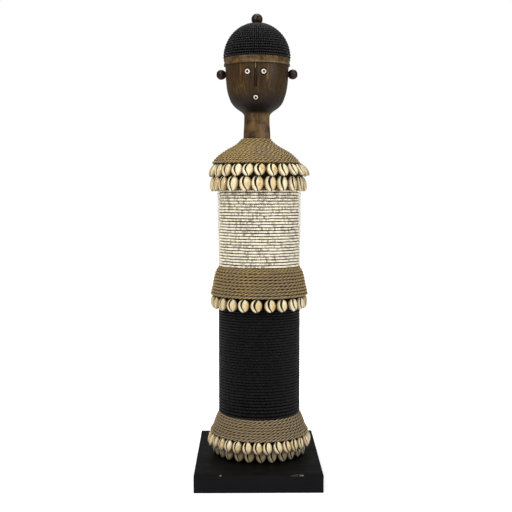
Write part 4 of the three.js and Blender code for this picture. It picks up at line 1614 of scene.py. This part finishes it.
class DOLL_OT_stage(bpy.types.Operator):
    """Floor, lights, camera and the finishes."""

    bl_idname = "doll.stage"
    bl_label = "Stage and finishes"

    def execute(self, context):
        mix_finishes(context.scene.doll_finishes)
        set_stage(context.scene.doll_stage)
        return {"FINISHED"}


class DOLL_OT_plinth(bpy.types.Operator):
    """Painted plinth and its two screws."""

    bl_idname = "doll.plinth"
    bl_label = "Plinth and screws"

    def execute(self, context):
        plinth_block()
        wood_screws()
        return {"FINISHED"}


class DOLL_OT_core(bpy.types.Operator):
    """Wooden core and the cloth wound on it."""

    bl_idname = "doll.core"
    bl_label = "Core and cloth"

    def execute(self, context):
        core_and_wraps()
        return {"FINISHED"}


class DOLL_OT_head(bpy.types.Operator):
    """Carved head and neck."""

    bl_idname = "doll.head"
    bl_label = "Head and neck"

    def execute(self, context):
        carved_head()
        return {"FINISHED"}


class DOLL_OT_face_beads(bpy.types.Operator):
    """Ring beads and nails of the eyes and the mouth."""

    bl_idname = "doll.face_beads"
    bl_label = "Eyes and mouth"

    def execute(self, context):
        ring_beads_and_nails()
        return {"FINISHED"}


class DOLL_OT_wooden_beads(bpy.types.Operator):
    """Topknot and ear beads with their pegs."""

    bl_idname = "doll.wooden_beads"
    bl_label = "Topknot and ears"

    def execute(self, context):
        wooden_beads()
        return {"FINISHED"}


class DOLL_OT_cap(bpy.types.Operator):
    """Cap of black seed beads."""

    bl_idname = "doll.cap"
    bl_label = "Beaded cap"

    def execute(self, context):
        cap_beads(context.scene.doll_beads)
        return {"FINISHED"}


class DOLL_OT_body_beads(bpy.types.Operator):
    """White and black bead windings of the body."""

    bl_idname = "doll.body_beads"
    bl_label = "Body beads"

    def execute(self, context):
        body_beads(context.scene.doll_beads)
        return {"FINISHED"}


class DOLL_OT_ropes(bpy.types.Operator):
    """Rope coils of the cape, the belt and the hem."""

    bl_idname = "doll.ropes"
    bl_label = "Rope coils"

    def execute(self, context):
        rope_coils(context.scene.doll_ropes)
        return {"FINISHED"}


class DOLL_OT_sewn_shells(bpy.types.Operator):
    """Sewn rows of cowries under the cape and the hem."""

    bl_idname = "doll.sewn_shells"
    bl_label = "Sewn cowries"

    def execute(self, context):
        sewn_rows(context.scene.doll_shells, context.scene.doll_ropes)
        return {"FINISHED"}


class DOLL_OT_belt_shells(bpy.types.Operator):
    """Swinging cowries under the belt."""

    bl_idname = "doll.belt_shells"
    bl_label = "Belt cowries"

    def execute(self, context):
        belt_row(context.scene.doll_shells, context.scene.doll_ropes)
        return {"FINISHED"}


STEPS = (
    DOLL_OT_stage, DOLL_OT_plinth, DOLL_OT_core, DOLL_OT_head, DOLL_OT_face_beads, DOLL_OT_wooden_beads,
    DOLL_OT_cap, DOLL_OT_body_beads, DOLL_OT_ropes, DOLL_OT_sewn_shells, DOLL_OT_belt_shells,
)
GROUPS = {
    "doll_beads": DollBeadSizes,
    "doll_ropes": DollRopeSizes,
    "doll_shells": DollShellSizes,
    "doll_finishes": DollFinishes,
    "doll_stage": DollStageSizes,
}


class DOLL_PT_maker(bpy.types.Panel):
    """The doll's sizes, colours and steps."""

    bl_label = "Fertility Doll"
    bl_idname = "DOLL_PT_maker"
    bl_space_type = "VIEW_3D"
    bl_region_type = "UI"
    bl_category = "Doll"

    def draw(self, context):
        for group_name, group in GROUPS.items():
            column = self.layout.column(align=True)
            for prop in group.__annotations__:
                column.prop(getattr(context.scene, group_name), prop)
        for step in STEPS:
            self.layout.operator(step.bl_idname)


def register():
    for group_name, group in GROUPS.items():
        bpy.utils.register_class(group)
        setattr(bpy.types.Scene, group_name, PointerProperty(type=group))
    for step in (*STEPS, DOLL_PT_maker):
        bpy.utils.register_class(step)


def unregister():
    for step in reversed((*STEPS, DOLL_PT_maker)):
        bpy.utils.unregister_class(step)
    for group_name, group in reversed(GROUPS.items()):
        delattr(bpy.types.Scene, group_name)
        bpy.utils.unregister_class(group)


def main():
    """Makes the whole doll."""
    register()
    for step in STEPS:
        family, action = step.bl_idname.split(".")
        getattr(getattr(bpy.ops, family), action)()


if __name__ == "__main__":
    main()
